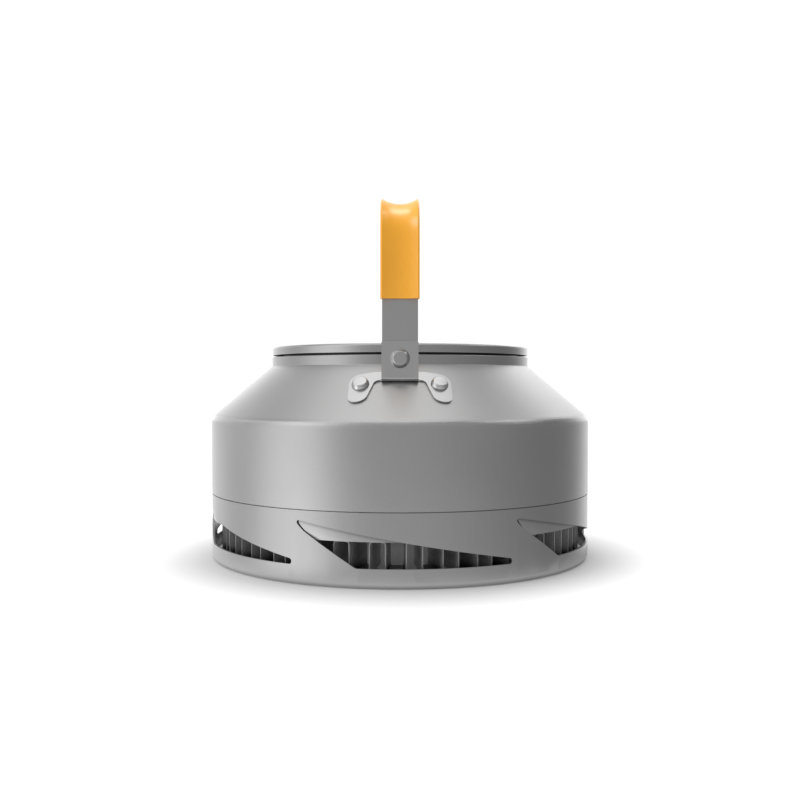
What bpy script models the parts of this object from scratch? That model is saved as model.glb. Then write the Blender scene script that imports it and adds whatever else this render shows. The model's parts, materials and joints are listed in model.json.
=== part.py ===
"""A camping kettle with a slotted heat-exchanger skirt, a folding bail handle and a lift-off lid.

Metres, +Z up. The origin is on the kettle's axis, on the surface that the kettle stands on.
The spout is on the +Y side, and the bail handle swings about a line along Y.
"""

import math

import bmesh
import bpy
from mathutils import Matrix, Vector

# Clearance between pieces that touch on the real kettle
GAP = 0.0003

# Vessel, drawn from one aluminium disc: floor, wall, cone and collar
BODY_RADIUS = 0.0760
BODY_WALL = 0.0010
FLOOR_THICKNESS = 0.0012
SHOULDER_WIDTH = 0.02405
COLLAR_TOP = 0.0795
COLLAR_HEIGHT = 0.0037
COLLAR_CORNER = 0.0006
MOUTH_LIP = 0.00505
CONE_ANGLE = math.radians(40.2)
SHOULDER_FILLET = 0.0052
SEAM_GROOVE = 0.0003
TUCK_DEPTH = 0.0025
BODY_SEGMENTS = 48

# Fin band under the floor: one corrugated strip, bent into a ring
FIN_COUNT = 36
FIN_SHEET = 0.0004
FIN_BASE = 0.0036
FIN_HEIGHT = 0.0120
FIN_DEPTH = 0.0220
FIN_WIDTH = math.radians(4.7)
FIN_CORNER = 0.0012
FIN_CLEARANCE = 0.0017
FIN_TURN = math.radians(3.9)

# Skirt round the fin band, with slots that let the hot gas out
SKIRT_SHEET = 0.0008
SKIRT_STEP = 0.0001
SKIRT_OVERLAP = 0.0100
SKIRT_FOOT_FILLET = 0.0024
SKIRT_FLANGE = 0.0030
FOOT_STEPS = 2
SLOT_COUNT = 6
SLOT_BOTTOM = 0.00695
SLOT_TIP_DROP = 0.0036
SLOT_LEFT = math.radians(-27.9)
SLOT_LEFT_BEND = math.radians(-24.8)
SLOT_LEFT_FOOT = math.radians(-11.35)
SLOT_RIGHT = math.radians(31.0)
SLOT_TOP_END = math.radians(0.5)
SLOT_BEND_SHARE = 0.76
SLOT_NOSE = 0.0019
SLOT_NOSE_FILLET = 0.0009
SLOT_TIP_WIDTH = 0.0013
SLOT_TIP_FILLET = 0.0004
SLOT_FOOT_FILLET = 0.0025
SLOT_CUT = 0.0005
FLAP_DEPTH = 0.0013
FLAP_CORNER = 0.0012

# Handle brackets, folded from sheet and riveted to the cone
BRACKET_SHEET = 0.0006
EAR_OFFSET = 0.00885
EAR_WIDTH_MARGIN = 0.00015
EAR_TOP_MARGIN = 0.0060
FOLD_RADIUS = 0.0012
FOLD_STEPS = 4
NOTCH_DROP = 0.0002
WING_RIVET_X = 0.0137
WING_RIVET_SLOPE = 0.0119
WING_BENDS = (0.0090, 0.0120)
WING_CORNERS = [
    (0.0002, 0.0050, 0.0),
    (0.0090, 0.0051, 0.0060),
    (0.0176, 0.0074, 0.0054),
    (0.01805, 0.0211, 0.0021),
    (0.0123, 0.0211, 0.0046),
    (0.0087, 0.0095, 0.0022),
    (0.0068, 0.0095, 0.0),
]
RIVET_HEAD_RADIUS = 0.00310
RIVET_HEAD_TOP = 0.00250
RIVET_HEAD_HEIGHT = 0.0016
RIVET_SHANK = 0.0015
RIVET_TAIL_RADIUS = 0.0024
RIVET_TAIL_HEIGHT = 0.0009
RIVET_HEAD_EDGE_SHARE = 0.20
RIVET_TAIL_FACE_SHARE = 0.80
RIVET_TAIL_EDGE_SHARE = 0.50
RIVET_DRILL_REACH = 0.0050

# Bail handle: a flat strap with a soft grip, on two pivot rivets
STRAP_WIDTH = 0.0126
STRAP_THICKNESS = 0.0010
STRAP_FOOT_CLEARANCE = 0.00030
HANDLE_RISE = 0.05375
HANDLE_BEND = 0.0120
GRIP_LEG = 0.0210
GRIP_WIDTH = 0.0136
GRIP_RIDGE = 0.0038
GRIP_GROOVE = 0.0019
GRIP_PALM = 0.0013
GRIP_PALM_SHARES = [(1.0, 0.45), (0.80, 0.85), (0.35, 1.0)]
GRIP_GROOVE_SHARE = 0.92
GRIP_RIDGE_EDGE = 0.0005
PIVOT_HEAD_RADIUS = 0.00345
PIVOT_HEAD_TOP = 0.00240
PIVOT_HEAD_HEIGHT = 0.0017
PIVOT_SHANK = 0.0020
PIVOT_TAIL_RADIUS = 0.0030
PIVOT_TAIL_HEIGHT = 0.0012
WASHER_RADIUS = 0.0035
WASHER_THICKNESS = 0.0005

# Spout, a tapered tube welded to the cone
SPOUT_SLOPE = 0.0200
SPOUT_LENGTH = 0.0137
SPOUT_LEAN = math.radians(62.0)
SPOUT_ROOT = (0.0090, 0.0060)
SPOUT_TIP = (0.0056, 0.0049)
SPOUT_WALL = 0.0010
SPOUT_FLARE_POWER = 1.6
SPOUT_LEVEL_SHARES = (0.35, 0.60, 0.80, 1.0)
SPOUT_CORNERS = 20
SPOUT_DRILL = (-0.0080, 0.0, 0.0040)

# Lid: a dished pressing with a rolled bead, and its knob
LID_SHEET = 0.0009
LID_PLUG_CLEARANCE = 0.0005
LID_SEAT = 0.0005
LID_PLUG_DEPTH = 0.0072
LID_SHADOW_GAP = 0.0006
LID_BEAD_HEIGHT = 0.0034
LID_OVERHANG = 0.00005
LID_BEAD_CORNER = 0.0012
LID_BEAD_FOOT = 0.0003
LID_PLUG_CORNER = 0.0022
KNOB_RADIUS = 0.0120
KNOB_NECK = 0.0062
KNOB_HEIGHT = 0.0108
KNOB_CAP = 0.0040
KNOB_FLARE = 0.0012
KNOB_UNDER_EDGE = 0.0010
KNOB_TOP_EDGE = 0.0018
SCREW_SHANK = 0.0018
SCREW_HEAD_RADIUS = 0.0035
SCREW_HEAD_HEIGHT = 0.0020
SCREW_HEAD_EDGE = 0.0009
SCREW_LENGTH = 0.0050
LID_WASHER_RADIUS = 0.0050
LID_WASHER_THICKNESS = 0.0006

# Finishes: base colour, roughness and metallic value
ANODISED = ((0.33, 0.33, 0.33), 0.45, 0.9)
FIN_ALUMINIUM = ((0.25, 0.25, 0.25), 0.55, 0.9)
BRIGHT_ALUMINIUM = ((0.60, 0.61, 0.61), 0.40, 0.9)
STEEL = ((0.55, 0.55, 0.56), 0.30, 1.0)
ORANGE_SILICONE = ((0.74, 0.35, 0.04), 0.55, 0.0)
SHARP_ANGLE = math.radians(35)

# Distances for the mesh itself: points that are one, and edges that a line may miss
SAME_POINT = 0.00001
ON_LINE = 0.00002

# Places that follow from the sizes above
SIN_CONE = math.sin(CONE_ANGLE)
COS_CONE = math.cos(CONE_ANGLE)
CONE_TOP = COLLAR_TOP - COLLAR_HEIGHT
COLLAR_RADIUS = BODY_RADIUS - SHOULDER_WIDTH
MOUTH_RADIUS = COLLAR_RADIUS - MOUTH_LIP
FIN_TOP = FIN_BASE + FIN_HEIGHT
FLOOR_HEIGHT = FIN_TOP + GAP
SEAM_HEIGHT = FLOOR_HEIGHT + SKIRT_OVERLAP
SKIRT_RADIUS = BODY_RADIUS - SKIRT_STEP
SKIRT_TOP = SEAM_HEIGHT - SEAM_GROOVE / 2
TUCK_RADIUS = SKIRT_RADIUS - SKIRT_SHEET - GAP
FIN_OUTER_RADIUS = SKIRT_RADIUS - SKIRT_SHEET - FLAP_DEPTH - FIN_CLEARANCE
FIN_INNER_RADIUS = FIN_OUTER_RADIUS - FIN_DEPTH
EAR_FACE = COLLAR_RADIUS + EAR_OFFSET
STRAP_OUTER_FACE = EAR_FACE - BRACKET_SHEET - GAP
STRAP_INNER_FACE = STRAP_OUTER_FACE - STRAP_THICKNESS
LID_SEAT_HEIGHT = COLLAR_TOP + GAP


def cone_height(radius):
    """Height of the cone's outer surface at a distance from the axis."""
    return CONE_TOP - (radius - COLLAR_RADIUS) * math.tan(CONE_ANGLE)


def cone_place(x, slope, lift):
    """The point across at x and down the cone by slope, raised off it by lift, on the +Y side."""
    radius = COLLAR_RADIUS + slope * COS_CONE + lift * SIN_CONE
    height = CONE_TOP - slope * SIN_CONE + lift * COS_CONE
    return Vector((x, math.sqrt(radius ** 2 - x ** 2), height))


PLATE_TOP_AT_STRAP = cone_height(STRAP_INNER_FACE) + (GAP + BRACKET_SHEET) / COS_CONE
PIVOT_HEIGHT = PLATE_TOP_AT_STRAP + STRAP_FOOT_CLEARANCE + STRAP_WIDTH / 2


def remove_all():
    """Empty the scene."""
    for item in list(bpy.data.objects):
        bpy.data.objects.remove(item, do_unlink=True)


def made(name, mesh, finish):
    """Turn a bmesh into a named object with its own material."""
    data = bpy.data.meshes.new(name)
    mesh.to_mesh(data)
    mesh.free()
    data.shade_smooth()
    data.set_sharp_from_angle(angle=SHARP_ANGLE)
    piece = bpy.data.objects.new(name, data)
    bpy.context.scene.collection.objects.link(piece)
    colour, roughness, metallic = finish
    material = bpy.data.materials.new(name)
    material.use_nodes = True
    shader = material.node_tree.nodes["Principled BSDF"]
    shader.inputs["Base Color"].default_value = (*colour, 1.0)
    shader.inputs["Roughness"].default_value = roughness
    shader.inputs["Metallic"].default_value = metallic
    data.materials.append(material)
    return piece


def solid(name, mesh, finish):
    """An object from a closed mesh, with its faces turned outwards."""
    bmesh.ops.recalc_face_normals(mesh, faces=mesh.faces)
    return made(name, mesh, finish)


def sheet(name, mesh, finish, thickness, inward=True):
    """An object from a bent sheet, given its thickness against its normals or along them."""
    piece = made(name, mesh, finish)
    thicken = piece.modifiers.new("sheet", "SOLIDIFY")
    thicken.thickness = thickness
    thicken.offset = -1.0 if inward else 1.0
    thicken.use_even_offset = True
    thicken.use_rim = True
    return piece


def cutter(name, mesh):
    """An object that only cuts others."""
    piece = solid(name, mesh, ANODISED)
    piece.hide_render = True
    piece.display_type = "WIRE"
    return piece


def cut(piece, tool):
    """Cut a piece with a cutter."""
    boolean = piece.modifiers.new(tool.name, "BOOLEAN")
    boolean.operation = "DIFFERENCE"
    boolean.solver = "EXACT"
    boolean.object = tool


def arc(centre, radius, start, end, steps):
    """Points along an arc, its two ends included."""
    points = []
    for step in range(steps + 1):
        angle = start + (end - start) * step / steps
        points.append((centre[0] + radius * math.cos(angle), centre[1] + radius * math.sin(angle)))
    return points


def ring(centre, radius, corners):
    """A closed round outline."""
    return arc(centre, radius, 0.0, 2 * math.pi * (corners - 1) / corners, corners - 1)


def rounded(corners, steps=3, closed=False):
    """A line through (x, y, fillet) corners, with an arc at each corner that has a fillet."""
    points = []
    last = len(corners) - 1
    for index, (x, y, fillet) in enumerate(corners):
        at_end = not closed and index in (0, last)
        if fillet == 0.0 or at_end:
            points.append((x, y))
            continue
        corner = Vector((x, y))
        back = (Vector(corners[index - 1][:2]) - corner).normalized()
        ahead = (Vector(corners[(index + 1) % len(corners)][:2]) - corner).normalized()
        half = back.angle(ahead) / 2
        centre = corner + (back + ahead).normalized() * fillet / math.sin(half)
        first = corner + back * fillet / math.tan(half) - centre
        turn = (math.pi - 2 * half) * (1 if back.cross(ahead) < 0 else -1)
        for step in range(steps + 1):
            spoke = Matrix.Rotation(turn * step / steps, 2) @ first
            points.append(tuple(centre + spoke))
    return points


def turned_mesh(profile, segments):
    """Spin a profile of (radius, height) points about Z, closing it where it leaves the axis."""
    mesh = bmesh.new()
    corners = [mesh.verts.new((radius, 0.0, height)) for radius, height in profile]
    for start, end in zip(corners, corners[1:]):
        mesh.edges.new((start, end))
    if profile[0][0] > 0.0:
        mesh.edges.new((corners[-1], corners[0]))
    bmesh.ops.spin(mesh, geom=mesh.verts[:] + mesh.edges[:], axis=(0, 0, 1), cent=(0, 0, 0),
                   angle=2 * math.pi, steps=segments, use_merge=True, use_duplicate=False)
    bmesh.ops.remove_doubles(mesh, verts=mesh.verts, dist=SAME_POINT)
    return mesh


def turned(name, profile, finish, segments):
    """A turned piece about its own Z axis."""
    return solid(name, turned_mesh(profile, segments), finish)


def flat_sheet(outline, holes=()):
    """A flat sheet in the XY plane with its holes."""
    mesh = bmesh.new()
    for loop in (outline, *holes):
        corners = [mesh.verts.new((x, y, 0.0)) for x, y in loop]
        for index, corner in enumerate(corners):
            mesh.edges.new((corners[index - 1], corner))
    bmesh.ops.triangle_fill(mesh, edges=mesh.edges, use_beauty=True, normal=(0, 0, 1))
    return mesh


def score(mesh, place, normal):
    """Cut a flat sheet along a line, so that it can bend there."""
    geometry = mesh.verts[:] + mesh.edges[:] + mesh.faces[:]
    bmesh.ops.bisect_plane(mesh, geom=geometry, dist=ON_LINE,
                           plane_co=(*place, 0.0), plane_no=(*normal, 0.0))


def bend(mesh, shape):
    """Move every point of a flat sheet to its place in the bent one."""
    for vertex in mesh.verts:
        vertex.co = shape(vertex.co.x, vertex.co.y)


def face_along(mesh, direction_of):
    """Turn a sheet over where its faces mostly run against the direction that belongs to their place."""
    mesh.normal_update()
    along = 0.0
    for face in mesh.faces:
        direction = direction_of(face.calc_center_median())
        along += face.calc_area() * face.normal.dot(direction)
    if along < 0.0:
        bmesh.ops.reverse_faces(mesh, faces=mesh.faces)


def skin(mesh, loops, closed):
    """Join each loop of points to the next, and the last to the first where closed, or cap both ends."""
    rings = [[mesh.verts.new(point) for point in loop] for loop in loops]
    pairs = list(zip(rings, rings[1:]))
    if closed:
        pairs.append((rings[-1], rings[0]))
    else:
        mesh.faces.new(rings[0])
        mesh.faces.new(rings[-1])
    for ring, following in pairs:
        for index in range(len(ring)):
            mesh.faces.new((ring[index - 1], ring[index], following[index], following[index - 1]))


def hold(name, place, pieces):
    """An empty on a joint's axis, which carries the pieces that move there."""
    empty = bpy.data.objects.new(name, None)
    empty.location = place
    bpy.context.scene.collection.objects.link(empty)
    for piece in pieces:
        piece.data.transform(Matrix.Translation(-Vector(place)))
        piece.parent = empty


def make_vessel():
    """The drawn vessel: floor, tucked foot, wall, shoulder, cone and collar with its mouth."""
    inner = BODY_RADIUS - BODY_WALL
    tuck_inner = TUCK_RADIUS - BODY_WALL
    ledge = SEAM_HEIGHT + SEAM_GROOVE / 2
    tuck_top = SEAM_HEIGHT - TUCK_DEPTH
    floor_corner = tuck_top - FLOOR_HEIGHT
    floor_inner = FLOOR_HEIGHT + FLOOR_THICKNESS
    corner_inner = tuck_top - floor_inner
    drop = BODY_WALL / COS_CONE
    collar_inner = COLLAR_RADIUS - BODY_WALL
    mouth_under = COLLAR_TOP - BODY_WALL
    inside = [
        (0.0, floor_inner, 0.0),
        (tuck_inner, floor_inner, corner_inner),
        (tuck_inner, ledge + BODY_WALL / 3, 0.0),
        (inner, ledge + BODY_WALL, 0.0),
        (inner, cone_height(inner) - drop, SHOULDER_FILLET - BODY_WALL),
        (collar_inner, cone_height(collar_inner) - drop, 0.0),
        (collar_inner, mouth_under, 0.0),
        (MOUTH_RADIUS, mouth_under, 0.0),
        (MOUTH_RADIUS, COLLAR_TOP, 0.0),
    ]
    outside = [
        (MOUTH_RADIUS + BODY_WALL, COLLAR_TOP, 0.0),
        (COLLAR_RADIUS, COLLAR_TOP, COLLAR_CORNER),
        (COLLAR_RADIUS, CONE_TOP, 0.0),
        (BODY_RADIUS, cone_height(BODY_RADIUS), SHOULDER_FILLET),
        (BODY_RADIUS, ledge, 0.0),
        (TUCK_RADIUS, ledge, 0.0),
        (TUCK_RADIUS, FLOOR_HEIGHT, floor_corner),
        (0.0, FLOOR_HEIGHT, 0.0),
    ]
    return turned("pot_body", rounded(inside, steps=2) + rounded(outside), ANODISED, BODY_SEGMENTS)


def corrugation():
    """The edge line of one corrugation: (angle, height) up one wall and down the other."""
    half = FIN_WIDTH / 2
    chamfer = FIN_CORNER / FIN_OUTER_RADIUS
    return [
        (-half, FIN_BASE),
        (-half, FIN_TOP - FIN_CORNER),
        (-half + chamfer, FIN_TOP),
        (half - chamfer, FIN_TOP),
        (half, FIN_TOP - FIN_CORNER),
        (half, FIN_BASE),
    ]


def make_fin_band():
    """The corrugated strip that stands between the flame and the skirt."""
    mesh = bmesh.new()
    loops = []
    for radius in (FIN_INNER_RADIUS, FIN_OUTER_RADIUS):
        loop = []
        for fin in range(FIN_COUNT):
            middle = FIN_TURN + 2 * math.pi * fin / FIN_COUNT
            for angle, height in corrugation():
                turn = middle + angle
                loop.append(mesh.verts.new((radius * math.sin(turn), -radius * math.cos(turn), height)))
        loops.append(loop)
    inner, outer = loops
    for index in range(len(inner)):
        mesh.faces.new((inner[index - 1], outer[index - 1], outer[index], inner[index]))
    face_along(mesh, fin_outside)
    return sheet("fin_band", mesh, FIN_ALUMINIUM, FIN_SHEET)


def fin_outside(point):
    """The direction out of the top of a corrugation: up, or away from its middle on a wall."""
    pitch = 2 * math.pi / FIN_COUNT
    turn = math.atan2(point.x, -point.y) - FIN_TURN
    side = turn - pitch * round(turn / pitch)
    along = Vector((math.cos(turn + FIN_TURN), math.sin(turn + FIN_TURN), 0.0))
    return along * math.copysign(1.0, side) + Vector((0, 0, 1))


def slot_corners():
    """The wall's cut line, from the crease's left end round the slot to the crease's right end."""
    tip = SEAM_HEIGHT - SLOT_TIP_DROP
    left = SLOT_LEFT * SKIRT_RADIUS
    right = SLOT_RIGHT * SKIRT_RADIUS
    bend_height = SLOT_BOTTOM + SLOT_BEND_SHARE * (tip - SLOT_BOTTOM)
    return [
        (left + SLOT_TIP_WIDTH, tip, 0.0),
        (left, tip, SLOT_TIP_FILLET),
        (SLOT_LEFT_BEND * SKIRT_RADIUS, bend_height, 0.0),
        (SLOT_LEFT_FOOT * SKIRT_RADIUS, SLOT_BOTTOM, SLOT_FOOT_FILLET),
        (right, SLOT_BOTTOM, SLOT_NOSE_FILLET),
        (right, SLOT_BOTTOM + SLOT_NOSE, SLOT_NOSE_FILLET),
        (SLOT_TOP_END * SKIRT_RADIUS, FLOOR_HEIGHT, 0.0),
    ]


def flap_corners():
    """The flap's free edge, from the crease's left end round its corner to the right end."""
    cut_line = slot_corners()
    start, bend_corner, foot, end = cut_line[0], cut_line[2], cut_line[3], cut_line[-1]
    down = (bend_corner[1] - FLOOR_HEIGHT) / (bend_corner[1] - foot[1])
    corner_x = bend_corner[0] + down * (foot[0] - bend_corner[0]) + SLOT_CUT
    return [
        start,
        (bend_corner[0] + SLOT_CUT, bend_corner[1] + SLOT_CUT / 3, 0.0),
        (corner_x, FLOOR_HEIGHT, FLAP_CORNER),
        end,
    ]


def skirt_shape(x, y):
    """Roll the skirt's flat pattern: its wall, the fillet at its foot and the flange inwards."""
    quarter = SKIRT_FOOT_FILLET * math.pi / 2
    down = SKIRT_FOOT_FILLET - y
    if down <= 0.0:
        radius, height = SKIRT_RADIUS, y
    elif down < quarter:
        turn = down / SKIRT_FOOT_FILLET
        radius = SKIRT_RADIUS - SKIRT_FOOT_FILLET * (1 - math.cos(turn))
        height = SKIRT_FOOT_FILLET * (1 - math.sin(turn))
    else:
        radius = SKIRT_RADIUS - SKIRT_FOOT_FILLET - (down - quarter)
        height = 0.0
    angle = x / SKIRT_RADIUS
    return Vector((radius * math.sin(angle), -radius * math.cos(angle), height))


def make_skirt():
    """The skirt: a rolled sheet with slots, each with a flap pressed inwards along a crease."""
    sector = 2 * math.pi * SKIRT_RADIUS / SLOT_COUNT
    middle = (SLOT_LEFT + SLOT_RIGHT) / 2 * SKIRT_RADIUS
    left, right = middle - sector / 2, middle + sector / 2
    foot = SKIRT_FOOT_FILLET - SKIRT_FOOT_FILLET * math.pi / 2 - SKIRT_FLANGE
    cut_line = rounded(slot_corners(), steps=3)
    border = [(left, foot), (right, foot), (right, SKIRT_TOP), (left, SKIRT_TOP)]
    wall = flat_sheet(border, holes=[cut_line])
    free_edge = rounded(flap_corners(), steps=3)
    flap = flat_sheet(free_edge)

    facet = 2 * math.pi * SKIRT_RADIUS / BODY_SEGMENTS
    for line in range(math.ceil(left / facet), math.floor(right / facet) + 1):
        for pattern in (wall, flap):
            score(pattern, (facet * line, 0.0), (1.0, 0.0))
    for step in range(FOOT_STEPS + 1):
        down = SKIRT_FOOT_FILLET * math.pi / 2 * step / FOOT_STEPS
        score(wall, (0.0, SKIRT_FOOT_FILLET - down), (0.0, 1.0))

    start, end = Vector(free_edge[0]), Vector(free_edge[-1])
    across = (end - start).normalized()
    reach = max(abs(across.cross(Vector(point) - start)) for point in free_edge)

    def flap_shape(x, y):
        """The flap leans inwards from its crease to its full depth at the corner."""
        lean = FLAP_DEPTH * abs(across.cross(Vector((x, y)) - start)) / reach
        place = skirt_shape(x, y)
        return place - Vector((place.x, place.y, 0.0)).normalized() * lean

    bend(wall, skirt_shape)
    bend(flap, flap_shape)
    joined = bmesh.new()
    for pattern in (wall, flap):
        data = bpy.data.meshes.new("pattern")
        pattern.to_mesh(data)
        pattern.free()
        joined.from_mesh(data)
    one = joined.verts[:] + joined.edges[:] + joined.faces[:]
    for slot in range(1, SLOT_COUNT):
        copy = bmesh.ops.duplicate(joined, geom=one)
        points = [item for item in copy["geom"] if isinstance(item, bmesh.types.BMVert)]
        turn = Matrix.Rotation(2 * math.pi * slot / SLOT_COUNT, 3, "Z")
        bmesh.ops.rotate(joined, verts=points, cent=(0, 0, 0), matrix=turn)
    bmesh.ops.remove_doubles(joined, verts=joined.verts, dist=ON_LINE)
    face_along(joined, skirt_outside)
    return sheet("skirt", joined, ANODISED, SKIRT_SHEET)


def skirt_outside(point):
    """Outwards and down, which is the outer side of both the wall and the flange."""
    return Vector((point.x, point.y, 0.0)).normalized() - Vector((0, 0, 1))


def make_bracket(name, side):
    """One handle bracket: two riveted wings on the cone and an ear folded up between them."""
    half = STRAP_WIDTH / 2 + EAR_WIDTH_MARGIN
    fold_turn = math.pi / 2 + CONE_ANGLE
    fold_arc = FOLD_RADIUS * fold_turn
    centre_y = EAR_FACE - FOLD_RADIUS
    start_y = centre_y - FOLD_RADIUS * SIN_CONE
    fold_start = (start_y - GAP * SIN_CONE - COLLAR_RADIUS) / COS_CONE
    centre_z = cone_place(0.0, fold_start, GAP).z + FOLD_RADIUS * COS_CONE
    ear_top = PIVOT_HEIGHT + EAR_TOP_MARGIN
    ear_end = fold_start + fold_arc + ear_top - centre_z

    def shape(x, slope):
        """Lay the pattern on the cone, and turn the ear up past the fold."""
        past = slope - fold_start
        if abs(x) > half + SAME_POINT or past <= 0.0:
            return cone_place(x, slope, GAP)
        level = cone_place(x, fold_start, GAP)
        turn = min(past / FOLD_RADIUS, fold_turn)
        bow = (level.y - start_y) * (1 - turn / fold_turn)
        angle = -math.pi / 2 - CONE_ANGLE + turn
        place_y = centre_y + FOLD_RADIUS * math.cos(angle)
        place_z = centre_z + FOLD_RADIUS * math.sin(angle)
        return Vector((x, place_y + bow, place_z + max(past - fold_arc, 0.0)))

    wing = rounded(WING_CORNERS, steps=2)
    notch = wing[-1][1] + NOTCH_DROP
    right_side = wing + [(half, notch), (half, ear_end)]
    left_side = [(-x, y) for x, y in reversed(right_side)]
    outline = right_side + left_side
    pivot_slope = fold_start + fold_arc + PIVOT_HEIGHT - centre_z
    holes = [ring((0.0, pivot_slope), PIVOT_SHANK + GAP, 16)]
    for x in (-WING_RIVET_X, WING_RIVET_X):
        holes.append(ring((x, WING_RIVET_SLOPE), RIVET_SHANK + GAP, 12))
    mesh = flat_sheet(outline, holes)
    for step in range(FOLD_STEPS + 1):
        score(mesh, (0.0, fold_start + fold_arc * step / FOLD_STEPS), (0.0, 1.0))
    for across in WING_BENDS:
        score(mesh, (across, 0.0), (1.0, 0.0))
        score(mesh, (-across, 0.0), (1.0, 0.0))
    bend(mesh, shape)
    face_along(mesh, lambda point: Vector((0, -1, 0)) if point.z > centre_z else Vector((0, 0, 1)))
    if side < 0:
        bmesh.ops.rotate(mesh, verts=mesh.verts, cent=(0, 0, 0), matrix=Matrix.Rotation(math.pi, 3, "Z"))
    return sheet(name, mesh, BRIGHT_ALUMINIUM, BRACKET_SHEET, inward=False)


def rivet_profile(head, head_top, head_height, shank, grip, tail, tail_height):
    """A set rivet about Z: its tail, its shank over the grip length, and its bevelled head."""
    return [
        (0.0, -tail_height),
        (tail * RIVET_TAIL_FACE_SHARE, -tail_height),
        (tail, -tail_height * RIVET_TAIL_EDGE_SHARE),
        (tail, 0.0),
        (shank, 0.0),
        (shank, grip),
        (head, grip),
        (head, grip + head_height * RIVET_HEAD_EDGE_SHARE),
        (head_top, grip + head_height),
        (0.0, grip + head_height),
    ]


def make_bracket_rivets(vessel):
    """Four rivets through the brackets' wings and the cone, and their holes in the cone."""
    stack = BODY_WALL + BRACKET_SHEET + 3 * GAP
    profile = rivet_profile(RIVET_HEAD_RADIUS, RIVET_HEAD_TOP, RIVET_HEAD_HEIGHT, RIVET_SHANK,
                            stack, RIVET_TAIL_RADIUS, RIVET_TAIL_HEIGHT)
    bore, reach = RIVET_SHANK + GAP, RIVET_DRILL_REACH
    hole = [(0.0, -reach), (bore, -reach), (bore, reach), (0.0, reach)]
    for end, side in (("front", 1), ("rear", -1)):
        for hand, x in (("left", -WING_RIVET_X), ("right", WING_RIVET_X)):
            seat = cone_place(x, WING_RIVET_SLOPE, 0.0)
            seat.y *= side
            round_axis = math.atan2(seat.y, seat.x)
            axis = Vector((math.cos(round_axis) * SIN_CONE, math.sin(round_axis) * SIN_CONE, COS_CONE))
            rivet = turned(f"{end}_{hand}_rivet", profile, BRIGHT_ALUMINIUM, 16)
            rivet.rotation_euler = axis.to_track_quat("Z", "Y").to_euler()
            rivet.location = seat - axis * (BODY_WALL + GAP)
            drill = cutter(f"{end}_{hand}_drill", turned_mesh(hole, 12))
            drill.rotation_euler = rivet.rotation_euler
            drill.location = seat
            cut(vessel, drill)


def make_pivots():
    """The two rivets that the handle turns on, each with its washer inside the strap."""
    stack = BRACKET_SHEET + STRAP_THICKNESS + WASHER_THICKNESS + 4 * GAP
    profile = rivet_profile(PIVOT_HEAD_RADIUS, PIVOT_HEAD_TOP, PIVOT_HEAD_HEIGHT, PIVOT_SHANK,
                            stack, PIVOT_TAIL_RADIUS, PIVOT_TAIL_HEIGHT)
    bore = PIVOT_SHANK + GAP
    rim = [(bore, 0.0), (WASHER_RADIUS, 0.0), (WASHER_RADIUS, WASHER_THICKNESS), (bore, WASHER_THICKNESS)]
    washer_face = STRAP_INNER_FACE - GAP - WASHER_THICKNESS
    for end, side in (("front", 1), ("rear", -1)):
        turn = (-side * math.pi / 2, 0.0, 0.0)
        rivet = turned(f"{end}_pivot_rivet", profile, ANODISED, 20)
        rivet.rotation_euler = turn
        rivet.location = (0.0, side * (EAR_FACE + GAP - stack), PIVOT_HEIGHT)
        washer = turned(f"{end}_pivot_washer", rim, STEEL, 20)
        washer.rotation_euler = turn
        washer.location = (0.0, side * washer_face, PIVOT_HEIGHT)


STRAP_CENTRE = (STRAP_OUTER_FACE + STRAP_INNER_FACE) / 2
HANDLE_TOP = PIVOT_HEIGHT + HANDLE_RISE
BEND_CENTRE_Y = STRAP_CENTRE - HANDLE_BEND
BEND_CENTRE_Z = HANDLE_TOP - HANDLE_BEND
BEND_ARC = HANDLE_BEND * math.pi / 2
HANDLE_HALF = BEND_CENTRE_Y + BEND_ARC + BEND_CENTRE_Z - PIVOT_HEIGHT


def arch_frame(distance):
    """Place, and the outward direction, on the arch at a distance from its top along the strap."""
    side = math.copysign(1.0, distance)
    past = abs(distance) - BEND_CENTRE_Y
    if past <= 0.0:
        return Vector((0.0, distance, HANDLE_TOP)), Vector((0, 0, 1))
    turn = min(past / HANDLE_BEND, math.pi / 2)
    outward = Vector((0.0, side * math.sin(turn), math.cos(turn)))
    place = Vector((0.0, side * BEND_CENTRE_Y, BEND_CENTRE_Z)) + outward * HANDLE_BEND
    place.z -= max(past - BEND_ARC, 0.0)
    return place, outward


def arch_stations(end, steps):
    """Distances along half the arch where it starts, bends and ends."""
    bends = [BEND_CENTRE_Y + BEND_ARC * step / steps for step in range(steps + 1)]
    half = bends + [end]
    return [-distance for distance in reversed(half)] + half


def make_strap():
    """The handle's strap: a flat bar with round ends, bent to an arch and drilled for its pivots."""
    half = STRAP_WIDTH / 2
    top = arc((0.0, HANDLE_HALF), half, 0.0, math.pi, 10)
    bottom = arc((0.0, -HANDLE_HALF), half, math.pi, 2 * math.pi, 10)
    holes = []
    for end in (-HANDLE_HALF, HANDLE_HALF):
        holes.append(ring((0.0, end), PIVOT_SHANK + GAP, 16))
    mesh = flat_sheet(top + bottom, holes)
    for distance in arch_stations(HANDLE_HALF - STRAP_WIDTH, 6):
        score(mesh, (0.0, distance), (0.0, 1.0))

    def shape(x, distance):
        """Lay the bar's outer face along the arch."""
        place, outward = arch_frame(distance)
        place += outward * STRAP_THICKNESS / 2
        place.x = x
        return place

    bend(mesh, shape)
    face_along(mesh, lambda point: Vector((0.0, point.y, point.z - PIVOT_HEIGHT)))
    return sheet("handle_strap", mesh, ANODISED, STRAP_THICKNESS)


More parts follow.
